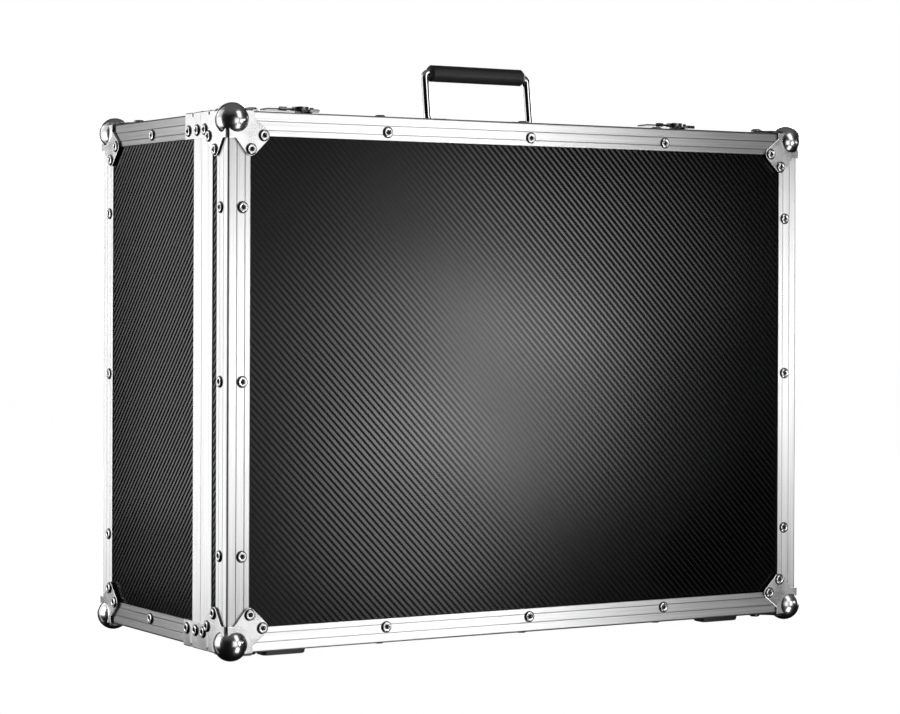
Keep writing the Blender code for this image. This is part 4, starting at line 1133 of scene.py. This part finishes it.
def make_lights():
    """Discs that glow in the front panel, soft lamps round them, boxes on the left, and lamps behind."""
    glows = ((0.76, 0.08, 1.60), (0.91, 0.28, 0.80), (0.76, 0.28, 1.05), (0.61, 0.28, 0.28),
             (0.61, 0.48, 0.10), (0.91, 0.08, 0.12), (0.76, 0.48, 0.26), (0.61, -0.12, 0.12))
    for number, (x, z, power) in enumerate(glows):
        make_light(f"glow_{number}", (x, FRONT_WALL, z), FRONT_TARGET, (0.32, 0.34), power, "ELLIPSE")
    for name, x, z, target, size, power in (
            ("front_soft", -0.17, 0.20, (-0.17, FRONT, 0.20), (0.64, 0.80), 3.3),
            ("front_fill", 0.27, 0.12, (0.27, FRONT, 0.12), (0.24, 1.26), 0.42),
            ("front_high", 0.42, 1.35, FRONT_TARGET, (0.80, 1.30), 7.5),
            ("front_low", 0.40, -0.92, FRONT_TARGET, (0.70, 0.90), 7.5),
            ("front_right", 2.10, 0.40, FRONT_TARGET, (0.30, 0.24), 2.2)):
        make_light(name, (x, FRONT_WALL, z), target, size, power)
    for name, (near, far), (low, high), power in (
            ("left_box", (0.10, 1.62), (-0.21, 1.50), 9.0),
            ("left_box_near", (0.10, 0.70), (-0.10, 0.60), 3.5),
            ("left_box_far", (1.30, 1.62), (-0.10, 1.50), 2.0),
            ("left_box_high", (1.45, 2.00), (0.90, 1.60), 3.0),
            ("left_box_tall", (0.90, 1.25), (-1.00, 2.60), 4.0)):
        middle = Vector((LEFT_WALL, (near + far) / 2, (low + high) / 2))
        make_light(name, middle, middle + Vector(X), (far - near, high - low), power)
    make_light("back_right", (1.70, 1.90, 0.90), (0.2, BACK, 0.25), (1.20, 1.20), 22.0)
    make_light("back_soft", (0.45, 2.20, 0.45), (0.0, BACK, 0.25), (1.40, 1.20), 18.0)
    make_light("right_soft", (2.30, 0.60, 0.40), (SIDE, 0.0, 0.25), (1.20, 1.20), 16.0)


def make_world():
    """White behind the case, seen and in reflections, a bright dome above and a dim room all round."""
    world = bpy.data.worlds.new("studio")
    world.use_nodes = True
    world.cycles.sampling_method = "NONE"
    w = Tree(world.node_tree)
    backdrop = w.tree.nodes["Background"]
    backdrop.inputs["Color"].default_value = (1.0, 1.0, 1.0, 1.0)
    ray = w.node("ShaderNodeLightPath").outputs
    ahead = (math.sin(CAMERA_YAW), math.cos(CAMERA_YAW), 0.0)
    behind = w.math("MULTIPLY", w.reach(ahead, *WORLD_BEHIND_FADE), WORLD_BEHIND)
    above = w.math("MULTIPLY", w.reach(Z, *WORLD_ABOVE_FADE), WORLD_ABOVE)
    mirrored = w.math("MAXIMUM", w.math("MAXIMUM", behind, above), WORLD_ROOM)
    shiny = w.math("MULTIPLY", ray["Is Glossy Ray"], mirrored)
    soft = w.math("MULTIPLY", ray["Is Diffuse Ray"], WORLD_SOFT)
    clear = w.math("MAXIMUM", ray["Is Camera Ray"], ray["Is Transmission Ray"])
    strength = w.math("MAXIMUM", w.math("MAXIMUM", shiny, soft), clear)
    w.tree.links.new(strength, backdrop.inputs["Strength"])
    bpy.context.scene.world = world


def make_floor():
    """A pale floor, thin enough to the eye that the opened lid still shows below it."""
    mesh = bpy.data.meshes.new("floor")
    corners = rectangle((-FLOOR_HALF, FLOOR_HALF), (-FLOOR_HALF, FLOOR_HALF))
    mesh.from_pydata([(x, y, 0.0) for x, y in corners], [], [(0, 1, 2, 3)])
    floor = add_object("floor", mesh)
    s = Shader("floor_white", Roughness=0.9, Alpha=FLOOR_ALPHA)
    s.set("Base Color", s.blend(s.noise(s.place(), 3.0), *FLOOR_GREYS))
    s.surface.inputs["Emission Color"].default_value = (1.0, 1.0, 1.0, 1.0)
    s.surface.inputs["Emission Strength"].default_value = FLOOR_GLOW
    mesh.materials.append(s.material)
    for ray in ("diffuse", "glossy", "transmission", "volume_scatter", "shadow"):
        setattr(floor, f"visible_{ray}", False)


make_camera()
make_world()
make_floor()
make_lights()
paint_solids()
make_ball_corners()
make_braces()
make_skins()
make_frame_rivets()
make_bail()
make_grip()
make_handle_base()
make_latches()
make_hinges()
make_feet()
make_lid_foam()
make_body_foam()

bpy.context.scene.view_settings.view_transform = "Standard"
